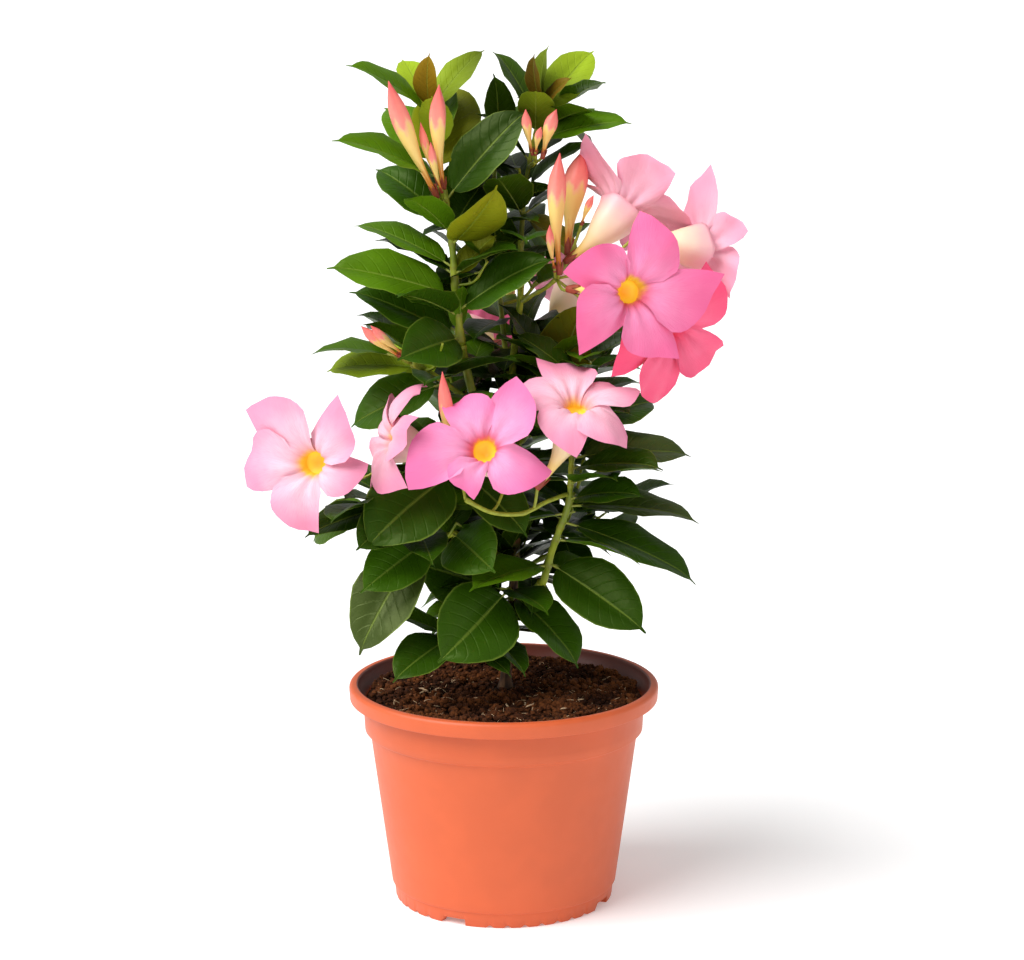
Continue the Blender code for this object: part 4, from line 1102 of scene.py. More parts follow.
def ball_template():
    """Points and faces of a twenty-sided ball of radius 1."""
    k = (1.0 + math.sqrt(5.0)) / 2.0
    points = [
        (-1, k, 0), (1, k, 0), (-1, -k, 0), (1, -k, 0), (0, -1, k), (0, 1, k), (0, -1, -k), (0, 1, -k),
        (k, 0, -1), (k, 0, 1), (-k, 0, -1), (-k, 0, 1),
    ]
    faces = [
        (0, 11, 5), (0, 5, 1), (0, 1, 7), (0, 7, 10), (0, 10, 11), (1, 5, 9), (5, 11, 4), (11, 10, 2),
        (10, 7, 6), (7, 1, 8), (3, 9, 4), (3, 4, 2), (3, 2, 6), (3, 6, 8), (3, 8, 9), (4, 9, 5),
        (2, 4, 11), (6, 2, 10), (8, 6, 7), (9, 8, 1),
    ]
    return unit(np.array(points, float)), np.array(faces)


def soil_spots(rng, count, reach):
    """Points dealt evenly over the soil, more to the edge as the square root asks."""
    r = reach * np.sqrt(rng.random(count))
    a = 2.0 * math.pi * rng.random(count)
    x, y = r * np.cos(a), r * np.sin(a)
    return x, y, SOIL_Z + soil_height(x, y)


def add_crumbs(shape, rng, count, sizes, flat):
    """Crumbs of peat: balls whose points are moved in or out by chance, stretched and turned, with a
    third of their height sunk in the soil."""
    ball, faces = ball_template()
    x, y, z = soil_spots(rng, count, SOIL_R - 1.5)
    away = np.hypot(x - STEM_FOOT[0], y - STEM_FOOT[1]) > 7.0
    x, y, z = x[away], y[away], z[away]
    count = len(x)
    size = mix(sizes, rng.random(count) ** 3)
    long, wide = rng.uniform(0.7, 1.3, count), rng.uniform(0.6, 1.0, count)
    stretch = size[:, None] * np.stack([long, wide, np.full(count, flat)], axis=1)
    points = ball[None] * stretch[:, None] * (1.0 + 0.38 * (rng.random((count, 12, 1)) - 0.5) * 2.0)
    a = 2.0 * math.pi * rng.random(count)[:, None]
    turned = np.stack([
        points[..., 0] * np.cos(a) - points[..., 1] * np.sin(a),
        points[..., 0] * np.sin(a) + points[..., 1] * np.cos(a), points[..., 2],
    ], axis=-1)
    centre = np.stack([x, y, z + 0.35 * size * flat], axis=1)
    index = faces[None] + 12 * np.arange(count)[:, None, None]
    places = np.repeat(rng.random(count), 12)[:, None] * np.array([1.0, 0.0, 0.0])
    shape.add((turned + centre[:, None]).reshape(-1, 3), [index.reshape(-1, 3)], places)


def add_fibres(shape, rng, count, lengths):
    """Thin fibres that lie on the soil, bent as s (cos a, sin a) + bow s^2 (-sin a, cos a)."""
    x, y, z = soil_spots(rng, count, SOIL_R - 6.0)
    for i in range(count):
        a, bow = rng.uniform(0.0, 2.0 * math.pi), rng.uniform(-0.8, 0.8)
        length = rng.uniform(*lengths)
        s = np.linspace(-0.5, 0.5, 5)
        px = x[i] + length * (s * math.cos(a) - bow * s * s * math.sin(a))
        py = y[i] + length * (s * math.sin(a) + bow * s * s * math.cos(a))
        inside = np.hypot(px, py) < SOIL_R - 2.0
        if not inside.all():
            continue
        pz = SOIL_Z + soil_height(px, py) + 0.35 + rng.uniform(0.0, 1.1) * (s + 0.5)
        radii = rng.uniform(0.10, 0.26) * np.array([0.5, 1.0, 1.0, 1.0, 0.4])
        add_tube(shape, np.stack([px, py, pz], axis=1), radii, 4)


def add_pale_bits(shape):
    """Short splinters: a bar along s (cos a, sin a) + kink (-sin a, cos a) that rises to one end."""
    for x, y, turn, length in PALE_BITS:
        s = np.linspace(-0.5, 0.5, 5)
        a = math.radians(turn)
        kink = 0.12 * length * np.sin(5.0 * s + turn)
        px = x + length * s * math.cos(a) - kink * math.sin(a)
        py = y + length * s * math.sin(a) + kink * math.cos(a)
        pz = SOIL_Z + soil_height(px, py).max() + 0.3 + 0.12 * length * (s + 0.5)
        add_tube(shape, np.stack([px, py, pz], axis=1), [0.2, 0.45, 0.6, 0.45, 0.15], 5)


class Flower:
    """An open trumpet: its axis is a parabola from the base that meets the throat along the way
    the flower faces, and rings stand square to it."""

    def __init__(self, base, throat, turn, rise, radius, spin, tint, petals, opens=PETAL_WIDE):
        self.base, self.throat = np.array(base, float), np.array(throat, float)
        self.face = direction(turn, rise)
        self.knee = self.throat - self.face * 0.5 * np.linalg.norm(self.throat - self.base)
        self.side = unit(np.cross(self.face, [0.0, 0.0, 1.0]))
        self.radius, self.spin, self.tint, self.opens = radius, math.radians(spin), tint, opens
        no_swing = 0.0
        self.petals = [(*petal, no_swing)[:3] for petal in petals]

    def axis(self, t):
        """Points of the axis at parts of the way to the throat."""
        t = np.asarray(t, float)[..., None]
        return (1 - t) ** 2 * self.base + 2 * t * (1 - t) * self.knee + t * t * self.throat

    def heading(self, t):
        """The way that the axis points there."""
        t = np.asarray(t, float)[..., None]
        return unit((1 - t) * (self.knee - self.base) + t * (self.throat - self.knee))


def bell_rings(flower, t, wide):
    """Rings of the given radii at parts of the way to the throat, with a low rib for each petal,
    1 + BELL_RIBS cos 5a, that grows with the bell."""
    around = circle(AROUND)
    ribs = 1.0 + BELL_RIBS * np.cos(PETALS * around)[None, :] * smoothstep(0.40, 0.75, t)[:, None]
    wide = wide[:, None] * ribs
    return rings_on(flower.axis(t), flower.heading(t), wide, around + flower.spin, flower.side)


def add_tube_of(shape, flower):
    """The flower's tube and bell, a thin wall: rings out to the petals and back inside it. The
    second place is the part of the way to the throat."""
    out = np.linspace(0.0, BELL_END, 24)
    back = np.linspace(BELL_END, THROAT_T[0] - THROAT_UNDER, 10)
    way = np.concatenate([out, back])
    wide = np.interp(way, TUBE_T, TUBE_WIDE) - np.where(np.arange(len(way)) < len(out), 0.0, BELL_WALL)
    places = np.stack([way, way, way * 0.0], axis=-1)[:, None]
    add_skin(shape, bell_rings(flower, way, wide), places, flower.axis(0.0), flower.axis(way[-1] - 0.02))


def add_throat_of(shape, flower):
    """The coloured lining of the throat, a thin wall inside the bell, closed deep inside. The
    second place is 0 there and 1 where the petals begin."""
    t = np.linspace(THROAT_T[0], THROAT_T[-1], 10)
    way = np.concatenate([t, t[::-1]])
    wide = np.interp(way, THROAT_T, THROAT_WIDE) - np.where(np.arange(len(way)) < len(t), 0.0, THROAT_WALL)
    part_in = (way - t[0]) / (t[-1] - t[0])
    places = np.stack([part_in, part_in, part_in * 0.0], axis=-1)[:, None]
    add_skin(shape, bell_rings(flower, way, wide), places, flower.axis(t[0] - 0.03), flower.axis(t[0] - 0.02))


def petal_reach(p):
    """Part of the flower's radius at the petal's edge, where p runs from 0 to 1 over the petal. It
    goes from the valley over a broad round shoulder to a point, as 0.76 sqrt(1 - (1 - x)^2) +
    0.24 x^5, and down to the next valley, as 0.62 y^1.5 + 0.38 y sqrt(1 - (1 - y)^2)."""
    x = np.clip(p / PETAL_TIP, 0.0, 1.0)
    y = np.clip((1.0 - p) / (1.0 - PETAL_TIP), 0.0, 1.0)
    rising = 0.76 * np.sqrt(1.0 - (1.0 - x) ** 2) + 0.24 * x ** 5
    falling = 0.62 * y ** 1.5 + 0.38 * y * np.sqrt(1.0 - (1.0 - y) ** 2)
    return PETAL_VALLEY + (1.0 - PETAL_VALLEY) * np.where(p < PETAL_TIP, rising, falling)


def add_petal(shape, flower, number, curl, reach, swing):
    """A petal: a profile carried round its share of the circle. The profile starts inside the bell
    and is summed in small steps d: out += sin(open) d, up += cos(open) d, where the angle from the
    axis goes from 14 degrees to the flower's own as 1 - e^(-d / 9) and then bends back with the
    petal's curl, more at the edge that lies behind. Lift is added square to it: at the edge that
    lies in front, as two waves that grow outwards, as pleats near the throat and as a low arch. The
    outer part swings round the axis by swing degrees. The places are the part of the way out, p,
    and 1 on the back."""
    p = np.concatenate([np.linspace(0.0, PETAL_TIP, 11), np.linspace(PETAL_TIP, 1.0, 6)[1:]])[None, :]
    s = np.linspace(0.0, 1.0, PETAL_ROWS)[:, None]
    rng = random.Random(number * 31 + int(10.0 * flower.radius) + int(flower.throat[0] * 3.0))
    foot_r, foot_deep = PETAL_FOOT
    full = flower.radius * reach - foot_r
    long = 1.12 * (flower.radius * reach * petal_reach(p) - foot_r) + 1.0
    d = s * long
    part_out = d / full
    twist = rng.uniform(8.0, 26.0)
    opening = mix((PETAL_OPENS, flower.opens), 1.0 - np.exp(-d / PETAL_OPEN_WITHIN))
    opening = np.radians(opening + (curl + twist * (2.0 * p - 1.0)) * part_out ** 1.4)
    step = np.diff(d, axis=0)
    between = 0.5 * (opening[1:] + opening[:-1])
    start = np.zeros_like(d[:1])
    out = foot_r + np.concatenate([start, np.cumsum(np.sin(between) * step, axis=0)])
    up = np.concatenate([start, np.cumsum(np.cos(between) * step, axis=0)])
    up = up - foot_deep * np.linalg.norm(flower.throat - flower.base)
    beat, phase = rng.uniform(0.9, 1.6), rng.uniform(0.0, 6.3)
    lift = 1.7 * (0.5 - p) * (0.2 + 0.8 * smoothstep(0.08, 0.55, part_out))
    lift = lift + 0.075 * flower.radius * part_out ** 1.6 * np.sin(2.0 * math.pi * beat * p + phase)
    lift = lift + 0.030 * flower.radius * part_out ** 3 * np.sin(2.0 * math.pi * 3.3 * p + 2.0 * phase)
    pleats = 1.0 + np.sin(2.0 * math.pi * 2.6 * p + 3.0 * phase)
    lift = lift + 0.022 * flower.radius * pleats * np.sin(math.pi * np.clip(part_out / 0.62, 0.0, 1.0))
    arch = np.sin(math.pi * np.clip(part_out, 0.0, 1.0))
    lift = lift + 0.030 * flower.radius * np.sin(math.pi * p) ** 2 * arch
    out = out - np.cos(opening) * lift
    up = up + np.sin(opening) * lift
    overlap = PETAL_OVERLAP * (0.2 + 0.8 * smoothstep(0.05, 0.50, part_out))
    angle = flower.spin + 2.0 * math.pi / PETALS * (number + p - overlap * (1.0 - p))
    angle = angle + math.radians(swing) * smoothstep(0.05, 0.50, part_out)
    u, v = flower.side, np.cross(flower.face, flower.side)
    grid = flower.throat + out[..., None] * (np.cos(angle)[..., None] * u + np.sin(angle)[..., None] * v)
    grid = grid + up[..., None] * flower.face
    places = np.stack(np.broadcast_arrays(part_out, p, 0.0), axis=-1)
    add_shell(shape, grid, PETAL_THICK, places, (0.0, 0.0, 1.0))


def add_calyx(shape, foot, heading, wide, long):
    """Five narrow sepals round the foot of a flower or bud: a cup that widens from 0.75 to 1.2 of
    wide, and whose upper edge stands long (0.35 + 0.65 w^0.8) high, where w is a triangle wave that
    rises to 1 once for each sepal. The outer side comes first."""
    k = np.linspace(0.0, 1.0, 6)
    around = circle(AROUND)
    point = triangle_wave(around * PETALS / (2.0 * math.pi)) ** 0.8
    tall = long * (0.35 + 0.65 * point)
    heading = unit(np.asarray(heading, float))
    side = np.eye(3)[np.abs(heading).argmin()]
    u = unit(side - (heading @ side) * heading)
    v = np.cross(heading, u)
    round_it = np.cos(around)[:, None] * u + np.sin(around)[:, None] * v

    def cup(extra, steps):
        """One side of the cup in steps from its foot, a little wider by extra."""
        flare = wide * (0.75 + 0.45 * steps) + extra
        along = -1.2 + (tall[None, :] + 1.2) * steps[:, None]
        return foot + along[..., None] * heading + flare[:, None, None] * round_it

    rings = np.concatenate([cup(0.35, k), cup(0.0, k[::-1])])
    add_skin(shape, rings, (0.0, 0.0, 0.0))


def add_bud(shape, foot, tip, radius):
    """A bud drawn out from foot to tip and slightly bowed, with five ridges that wind round it:
    radius times (1 + 0.06 cos(5 a + 5 t)). The places are t, and a wave that zigzags round it."""
    t = np.linspace(0.0, 1.0, 26)
    wide = np.interp(t, BUD_T, BUD_WIDE) * radius
    sides = 20
    path = mix((foot, tip), t[:, None])
    bow = 0.03 * np.linalg.norm(tip - foot) * np.sin(math.pi * t)
    path = path + bow[:, None] * unit(np.cross(tip - foot, [0.0, 1.0, 0.3]))
    heading = unit(np.gradient(path, axis=0))
    a = circle(sides)[None, :]
    ridge = 1.0 + 0.06 * np.cos(5.0 * a + 5.0 * t[:, None]) * smoothstep(0.35, 0.7, t)[:, None]
    rings = rings_on(path, heading, wide[:, None] * ridge, circle(sides))
    zigzag = triangle_wave(5.0 * (a + t[:, None]) / (2.0 * math.pi))
    places = np.stack(np.broadcast_arrays(t[:, None], zigzag, radius / 10.0), axis=-1)
    add_skin(shape, rings, places, path[0], path[-1])


def truss_buds(truss):
    """The buds of a truss, each as foot, tip and radius."""
    for foot, tip, radius in truss["buds"]:
        yield np.array(foot, float), np.array(tip, float), radius


def truss_lines(plant, truss):
    """A truss's stalk, and the pedicel of each flower and bud as a fine centre line. A pedicel
    leaves the stalk near its foot, and rather near the stalk's end."""
    path = leave(plant.limbs[truss["on"]], truss["height"], truss["stalk"], STALK_R)
    stalk = Limb(smooth_path(path), (STALK_R, STALK_R))
    pedicels = []
    for foot, *_ in truss["flowers"] + truss["buds"]:
        foot, line = np.array(foot, float), stalk.path[2:]
        reach = np.linalg.norm(line - foot, axis=1) + 0.4 * np.linalg.norm(line - line[-1], axis=1)
        start = line[np.argmin(reach)]
        bow = mix((start, foot), 0.5) - np.array([0.0, 0.0, 0.12 * np.linalg.norm(foot - start)])
        coarse = smooth_path([start, bow, foot, foot + unit(foot - bow) * 1.5], PEDICEL_SPACING)
        pedicels.append(smooth_path(coarse, 3.0))
    return stalk, pedicels


def display(seen):
    """A colour as it looks on the screen, in parts of 255, turned to the linear one of the shaders."""
    parts = (np.array(seen) / 255.0).tolist()
    return tuple(c / 12.92 if c <= 0.04045 else ((c + 0.055) / 1.055) ** 2.4 for c in parts)


class Value:
    """A number that shader nodes work out, so that sums read as plain expressions."""

    def __init__(self, finish, socket):
        self.finish = finish
        self.socket = socket

    def work(self, operation, *values):
        """One operation of the maths node on the values."""
        return self.finish.node("ShaderNodeMath", {"operation": operation}, dict(enumerate(values)))

    def __add__(self, other):
        return self.work("ADD", self, other)

    __radd__ = __add__

    def __mul__(self, other):
        return self.work("MULTIPLY", self, other)

    __rmul__ = __mul__

    def __sub__(self, other):
        return self.work("SUBTRACT", self, other)

    def __rsub__(self, other):
        return self.work("SUBTRACT", other, self)

    def __pow__(self, other):
        return self.work("POWER", self, other)

    def __abs__(self):
        return self.work("ABSOLUTE", self)

    def span(self, low, high):
        """0 at low and below, 1 at high and above, and smooth between."""
        sockets = {"Value": self, "From Min": low, "From Max": high}
        return self.finish.node("ShaderNodeMapRange", {"interpolation_type": "SMOOTHSTEP"}, sockets)


class Finish:
    """A material with one principled shader, and the nodes that feed it."""

    def __init__(self, name, roughness):
        self.material = bpy.data.materials.new(name)
        self.material.use_nodes = True
        self.tree = self.material.node_tree
        self.shader = self.tree.nodes["Principled BSDF"]
        self.feed("Roughness", roughness)

    def put(self, socket, value):
        """Links a value that nodes work out to a socket, or sets a number or colour there."""
        if isinstance(value, Value):
            self.tree.links.new(value.socket, socket)
        elif socket.type == "RGBA":
            socket.default_value = (*value[:3], 1.0)
        else:
            socket.default_value = value

    def node(self, kind, settings, sockets, out=0):
        """One node: its settings, or the stops of its ramp, are set first, and then its sockets
        take numbers, colours or links."""
        made = self.tree.nodes.new(kind)
        for key, value in settings.items():
            if key == "stops":
                while len(made.color_ramp.elements) < len(value):
                    made.color_ramp.elements.new(0.5)
                for element, (place, colour) in zip(made.color_ramp.elements, value):
                    element.position = place
                    element.color = (*colour, 1.0)
            else:
                setattr(made, key, value)
        for key, value in sockets.items():
            self.put(made.inputs[key], value)
        return Value(self, made.outputs[out])

    def where(self):
        """Object coordinates in metres."""
        return self.node("ShaderNodeTexCoord", {}, {}, "Object")

    def along(self, vector, axis):
        """One of the three numbers of a vector."""
        return self.node("ShaderNodeSeparateXYZ", {}, {"Vector": vector}, axis)

    def place(self, axis):
        """One of the three numbers that the piece keeps at each point."""
        vector = self.node("ShaderNodeAttribute", {"attribute_name": "place"}, {}, "Vector")
        return self.along(vector, axis)

    def noise(self, size, detail=2.0, stretch=(1.0, 1.0, 1.0)):
        """Noise from 0 to 1 whose grains are size millimetres, drawn out along the axes."""
        scale = tuple(1.0 / k for k in stretch)
        vector = self.node("ShaderNodeMapping", {}, {"Vector": self.where(), "Scale": scale})
        sockets = {"Vector": vector, "Scale": 1.0 / MM / size, "Detail": detail}
        return self.node("ShaderNodeTexNoise", {}, sockets, "Fac")

    def blend(self, factor, first, second):
        """A colour between two."""
        return self.node("ShaderNodeMix", {"data_type": "RGBA"}, {0: factor, 6: first, 7: second}, 2)

    def ramp(self, factor, stops):
        """A colour that goes through the stops as the factor goes from 0 to 1."""
        return self.node("ShaderNodeValToRGB", {"stops": stops}, {"Fac": factor}, "Color")

    def feed(self, socket, value):
        """Put a value to a socket of the shader."""
        self.put(self.shader.inputs[socket], value)

    def relief(self, height, deep, strength):
        """Bump of the height, where 1 stands deep millimetres over 0."""
        sockets = {"Strength": strength, "Distance": deep * MM, "Height": height}
        self.feed("Normal", self.node("ShaderNodeBump", {}, sockets, "Normal"))


class Sky(Finish):
    """The world's light and the nodes that feed it."""

    def __init__(self, world):
        self.tree = world.node_tree
        self.shader = self.tree.nodes["Background"]


def shade(colour, k):
    """The colour times k, up to 1."""
    return tuple(min(1.0, k * c) for c in colour)


def pot_finish(look):
    """Satin moulded plastic with a faint grain, and painted shade on the inner wall over the soil."""
    finish = Finish("moulded_plastic", look.roughness)
    cloud = finish.noise(26.0)
    where = finish.where()
    x, y, z = (finish.along(where, axis) for axis in "XYZ")
    away = (x * x + y * y) ** 0.5
    # Painted shade: the inner wall between the lip and the soil takes the dark inside colour.
    inner = 1.0 - away.span((LIP_INNER_R + 0.1) * MM, (LIP_INNER_R + 0.8) * MM)
    inner = inner * z.span((SOIL_Z - 3.0) * MM, (SOIL_Z - 1.5) * MM)
    tint = finish.blend(cloud.span(0.35, 0.7), look.colour, shade(look.colour, 1.06))
    finish.feed("Base Color", finish.blend(inner, tint, look.inner))
    finish.feed("Roughness", look.roughness + 0.10 * finish.noise(7.0))
    finish.relief(finish.noise(0.9), 0.05, 0.5)
    return finish.material


def soil_finish(look):
    """Damp peat, nearly black in its hollows and rusty on its lumps as painted shade and light."""
    finish = Finish("peat", 0.95)
    finish.feed("Specular IOR Level", 0.15)
    grain = finish.noise(2.2, 4.0)
    cloud = finish.noise(24.0, 3.0)
    height = finish.along(finish.where(), "Z")
    # Painted shade and light: the peat turns darker low down and lighter high up.
    high = height.span((SOIL_Z - 2.5) * MM, (SOIL_Z + 2.5) * MM)
    stops = [(0.12, look.dark), (0.5, look.colour), (0.9, look.light)]
    lightness = 0.28 * grain.span(0.3, 0.7) + 0.34 * cloud.span(0.35, 0.65)
    lightness = lightness + 0.24 * high + 0.14 * finish.place("X")
    finish.feed("Base Color", finish.ramp(lightness, stops))
    finish.relief(finish.noise(1.4, 4.0) + 0.6 * grain, 1.2, 0.9)
    return finish.material


def plain_finish(name, colour, roughness, grain=0.15):
    """A plain colour, a little lighter and darker by noise."""
    finish = Finish(name, roughness)
    darker, lighter = shade(colour, 1.0 - grain), shade(colour, 1.0 + grain)
    finish.feed("Base Color", finish.blend(finish.noise(3.0).span(0.35, 0.65), darker, lighter))
    return finish.material


def bark_finish(look):
    """The trunk: dark bark below that turns green-brown up the stem, reddish at its nodes."""
    finish = Finish("bark", 0.82)
    up, node, ridge = finish.place("X"), finish.place("Y"), finish.place("Z")
    fleck = finish.noise(1.6, 3.0, (1.0, 1.0, 3.0))
    low = finish.blend((0.7 * ridge + 0.5 * fleck).span(0.3, 1.0), look.bark_dark, look.bark)
    high = finish.blend(fleck.span(0.35, 0.7), look.green, look.green_light)
    colour = finish.blend((up + 0.10 * fleck).span(0.30, 0.62), low, high)
    finish.feed("Base Color", finish.blend(0.75 * node.span(0.35, 0.9), colour, look.node))
    finish.relief(fleck, 0.35, 0.7)
    return finish.material


def green_stem_finish(look):
    """Young stems: yellow-green, and reddish-brown at some of the nodes."""
    finish = Finish("green_stem", 0.48)
    node = finish.place("Y")
    cloud = finish.noise(14.0)
    fleck = finish.noise(1.2, 2.0, (1.0, 1.0, 3.0))
    colour = finish.blend(cloud.span(0.35, 0.7), look.green, look.green_light)
    finish.feed("Base Color", finish.blend(0.5 * cloud * node.span(0.45, 0.95), colour, look.node))
    finish.relief(fleck, 0.15, 0.4)
    return finish.material


def leaf_finish(name, colour, midrib, matt, gloss):
    """A leaf: its colour, lighter or darker from leaf to leaf, with painted shade near the plant's
    middle, fine side veins pressed in that leave the midrib at a slant and bend to the tip, and a pale
    midrib and thin edge."""
    finish = Finish(name, matt)
    finish.feed("Specular IOR Level", gloss)
    finish.feed("Specular Tint", LEAF_GLOSS)
    along, across, seed = finish.place("X"), finish.place("Y"), finish.place("Z")
    side = abs(across)
    slant = (along - 0.22 * side) * 9.0 + seed
    vein = slant.work("FRACT", slant)
    line = 1.0 - (abs(vein - 0.5) * 2.0).span(0.0, 0.22)
    cloud = finish.noise(30.0)
    darker = shade(colour, 0.70)
    tint = finish.blend((0.55 * cloud + 0.45 * seed).span(0.25, 0.75), darker, shade(colour, 1.35))
    tint = finish.blend(0.20 * line * (1.0 - side), tint, shade(colour, 1.6))
    # Painted shade: leaves turn darker towards the plant's middle, where shade falls.
    x, y = (finish.along(finish.where(), axis) for axis in "XY")
    away = (x * x + (y - STEM_FOOT[1] * MM) ** 2.0) ** 0.5
    tint = finish.blend(away.span(*LEAF_SHADED), shade(darker, 0.5), tint)
    rib = 1.0 - side.span(0.015, 0.06)
    tint = finish.blend(0.4 * rib, tint, midrib)
    finish.feed("Base Color", finish.blend(0.5 * side.span(0.93, 1.0), tint, midrib))
    finish.feed("Roughness", matt + 0.16 * finish.noise(9.0))
    pucker = finish.noise(5.0)
    finish.relief(0.7 * pucker - 0.45 * line * (1.0 - 0.6 * side) - 0.5 * rib, 0.8, 0.6)
    return finish.material


def petal_finish(name, edge, middle, ring, flames):
    """A petal: yellow flames and a deeper ring where it leaves the throat, palest a little way out
    and coloured to the edge, with faint lines that run outwards. Its back is a little deeper."""
    finish = Finish(name, 0.5)
    finish.feed("Specular IOR Level", 0.3)
    out, across, behind = finish.place("X"), finish.place("Y"), finish.place("Z")
    stripes = finish.node("ShaderNodeCombineXYZ", {}, {"X": across * 26.0, "Y": out * 1.2})
    sockets = {"Vector": stripes, "Detail": 2.0}
    lines = finish.node("ShaderNodeTexNoise", {"noise_dimensions": "2D"}, sockets, "Fac")
    cloud = finish.noise(20.0)
    tint = finish.blend((out + 0.5 * (cloud - 0.5)).span(0.15, 1.0), middle, edge)
    tint = finish.blend(0.45 * lines.span(0.45, 0.75), tint, edge)
    tint = finish.blend(0.35 * behind, tint, edge)
    tint = finish.blend(out.span(0.04, 0.28), ring, tint)
    flame = (out + 0.16 * (lines - 0.5) + 0.45 * (cloud - 0.5)).span(-0.02, 0.13)
    finish.feed("Base Color", finish.blend(flame, flames, tint))
    finish.relief(lines + 0.8 * finish.noise(6.0), 0.35, 0.5)
    return finish.material


def bell_finish(look):
    """The tube and bell: yellow at the foot, cream in the middle, peach on the bell, pink at its rim."""
    finish = Finish("flower_tube", 0.5)
    along = finish.place("Y")
    stops = [
        (0.0, look.tube_foot), (0.18, look.tube_foot), (0.42, look.tube), (0.68, look.tube_warm),
        (0.92, look.tube_rim),
    ]
    finish.feed("Base Color", finish.ramp(along + 0.12 * (finish.noise(6.0) - 0.5), stops))
    finish.relief(finish.noise(2.5), 0.2, 0.4)
    return finish.material


def throat_finish(look):
    """The throat: orange deep inside, yellow further out, peach at the rim, and a low painted glow."""
    finish = Finish("flower_throat", 0.5)
    # Painted glow: the throat gives off light in its own colour though it is no lamp.
    finish.feed("Emission Strength", THROAT_PAINTED_GLOW)
    along = finish.place("Y")
    stops = [(0.0, look.throat_deep), (0.35, look.throat), (0.80, look.throat), (1.0, look.throat_rim)]
    colour = finish.ramp(along, stops)
    finish.feed("Base Color", colour)
    finish.feed("Emission Color", colour)
    return finish.material


def bud_finish(look):
    """A bud: orange foot, cream body, and a salmon tip that is deepest at its point."""
    finish = Finish("bud", 0.45)
    along, zigzag = finish.place("X"), finish.place("Y")
    edge = along - 0.11 * zigzag + 0.12 * (finish.noise(4.0) - 0.5) + 0.03
    stops = [
        (0.0, look.bud_foot), (0.12, look.bud_foot), (0.28, look.bud_body), (0.54, look.bud_body),
        (0.61, look.bud_peach), (0.65, look.bud_tip), (1.0, look.bud_point),
    ]
    finish.feed("Base Color", finish.ramp(edge, stops))
    return finish.material


def colour(name, seen, description):
    """A colour that the panel shows, given in parts of 255 as it looks on the screen."""
    return FloatVectorProperty(
        name=name, description=description, subtype="COLOR", size=3, min=0.0, max=1.0, default=display(seen),
    )


def amount(name, value, low, high, description, **kind):
    """A number between low and high that the panel shows."""
    return FloatProperty(name=name, description=description, default=value, min=low, max=high, **kind)


class MandevillaPot(PropertyGroup):
    """Sizes and colour of the pot."""

    lip_round: amount(
        "Lip rounding", 2.6 * MM, 0.5 * MM, 4.2 * MM, "Radius of the lip's outer upper edge", unit="LENGTH",
    )
    colour: colour("Colour", (208, 92, 46), "Colour of the moulded plastic")
    # Inside: painted shade, the dark colour given to the inner wall over the soil.
    inner: colour("Inside", (118, 46, 26), "Colour of the wall over the soil")
    roughness: amount("Roughness", 0.42, 0.0, 1.0, "How matt the plastic is", subtype="FACTOR")


class MandevillaSoil(PropertyGroup):
    """Colours and crumbs of the soil."""

    colour: colour("Colour", (66, 34, 16), "Colour of the peat")
    # Dark: the peat's darkest tone, reached by its grain and by the painted shade of its hollows.
    dark: colour("Dark", (22, 10, 5), "Colour of the peat in its hollows")
    light: colour("Light", (128, 74, 38), "Colour of its lighter grains")
    fibre: colour("Fibres", (226, 190, 150), "Colour of the fibres that lie on it")
    crumbs: IntProperty(name="Crumbs", description="Number of dark crumbs", default=5200, min=0, max=8000)
    fibres: IntProperty(name="Fibre count", description="Number of fibres", default=170, min=0, max=800)


class MandevillaStems(PropertyGroup):
    """Relief and colours of the trunk and stems."""

    relief: amount("Bark relief", 0.10 * MM, 0.0, 0.4 * MM, "Height of the bark's ridges", unit="LENGTH")
    bark: colour("Bark", (128, 92, 62), "Colour of the bark's ridges")
    bark_dark: colour("Dark bark", (58, 38, 26), "Colour of the bark's furrows")
    green: colour("Green", (116, 134, 20), "Colour of the young stems")
    green_light: colour("Light green", (168, 178, 42), "Colour of their lighter parts")
    node: colour("Nodes", (124, 70, 44), "Colour of the rings at the nodes")


class MandevillaLeaves(PropertyGroup):
    """Colours of the leaves."""

    dark: colour("Dark", (46, 78, 6), "Old leaves")
    # Deep: an old leaf's green greyed as a painted sheen, beside the real gloss set for it in LEAF_SHEENS.
    deep: colour("Deep", (62, 80, 26), "Old leaves with a grey sheen")
    # Fresh, young and olive: the leaves' own greens, which on posed leaves are also painted light for leaves
    # that light falls on or shines through.
    fresh: colour("Fresh", (76, 112, 10), "Full leaves in the light")
    young: colour("Young", (144, 168, 34), "Young leaves at the tips")
    olive: colour("Olive", (126, 132, 18), "Undersides and olive leaves")
    bronze: colour("Bronze", (122, 94, 16), "The youngest leaves")
    midrib: colour("Midrib", (136, 158, 60), "Midribs and thin edges")
    petiole: colour("Petiole", (150, 158, 62), "Leaf stalks")


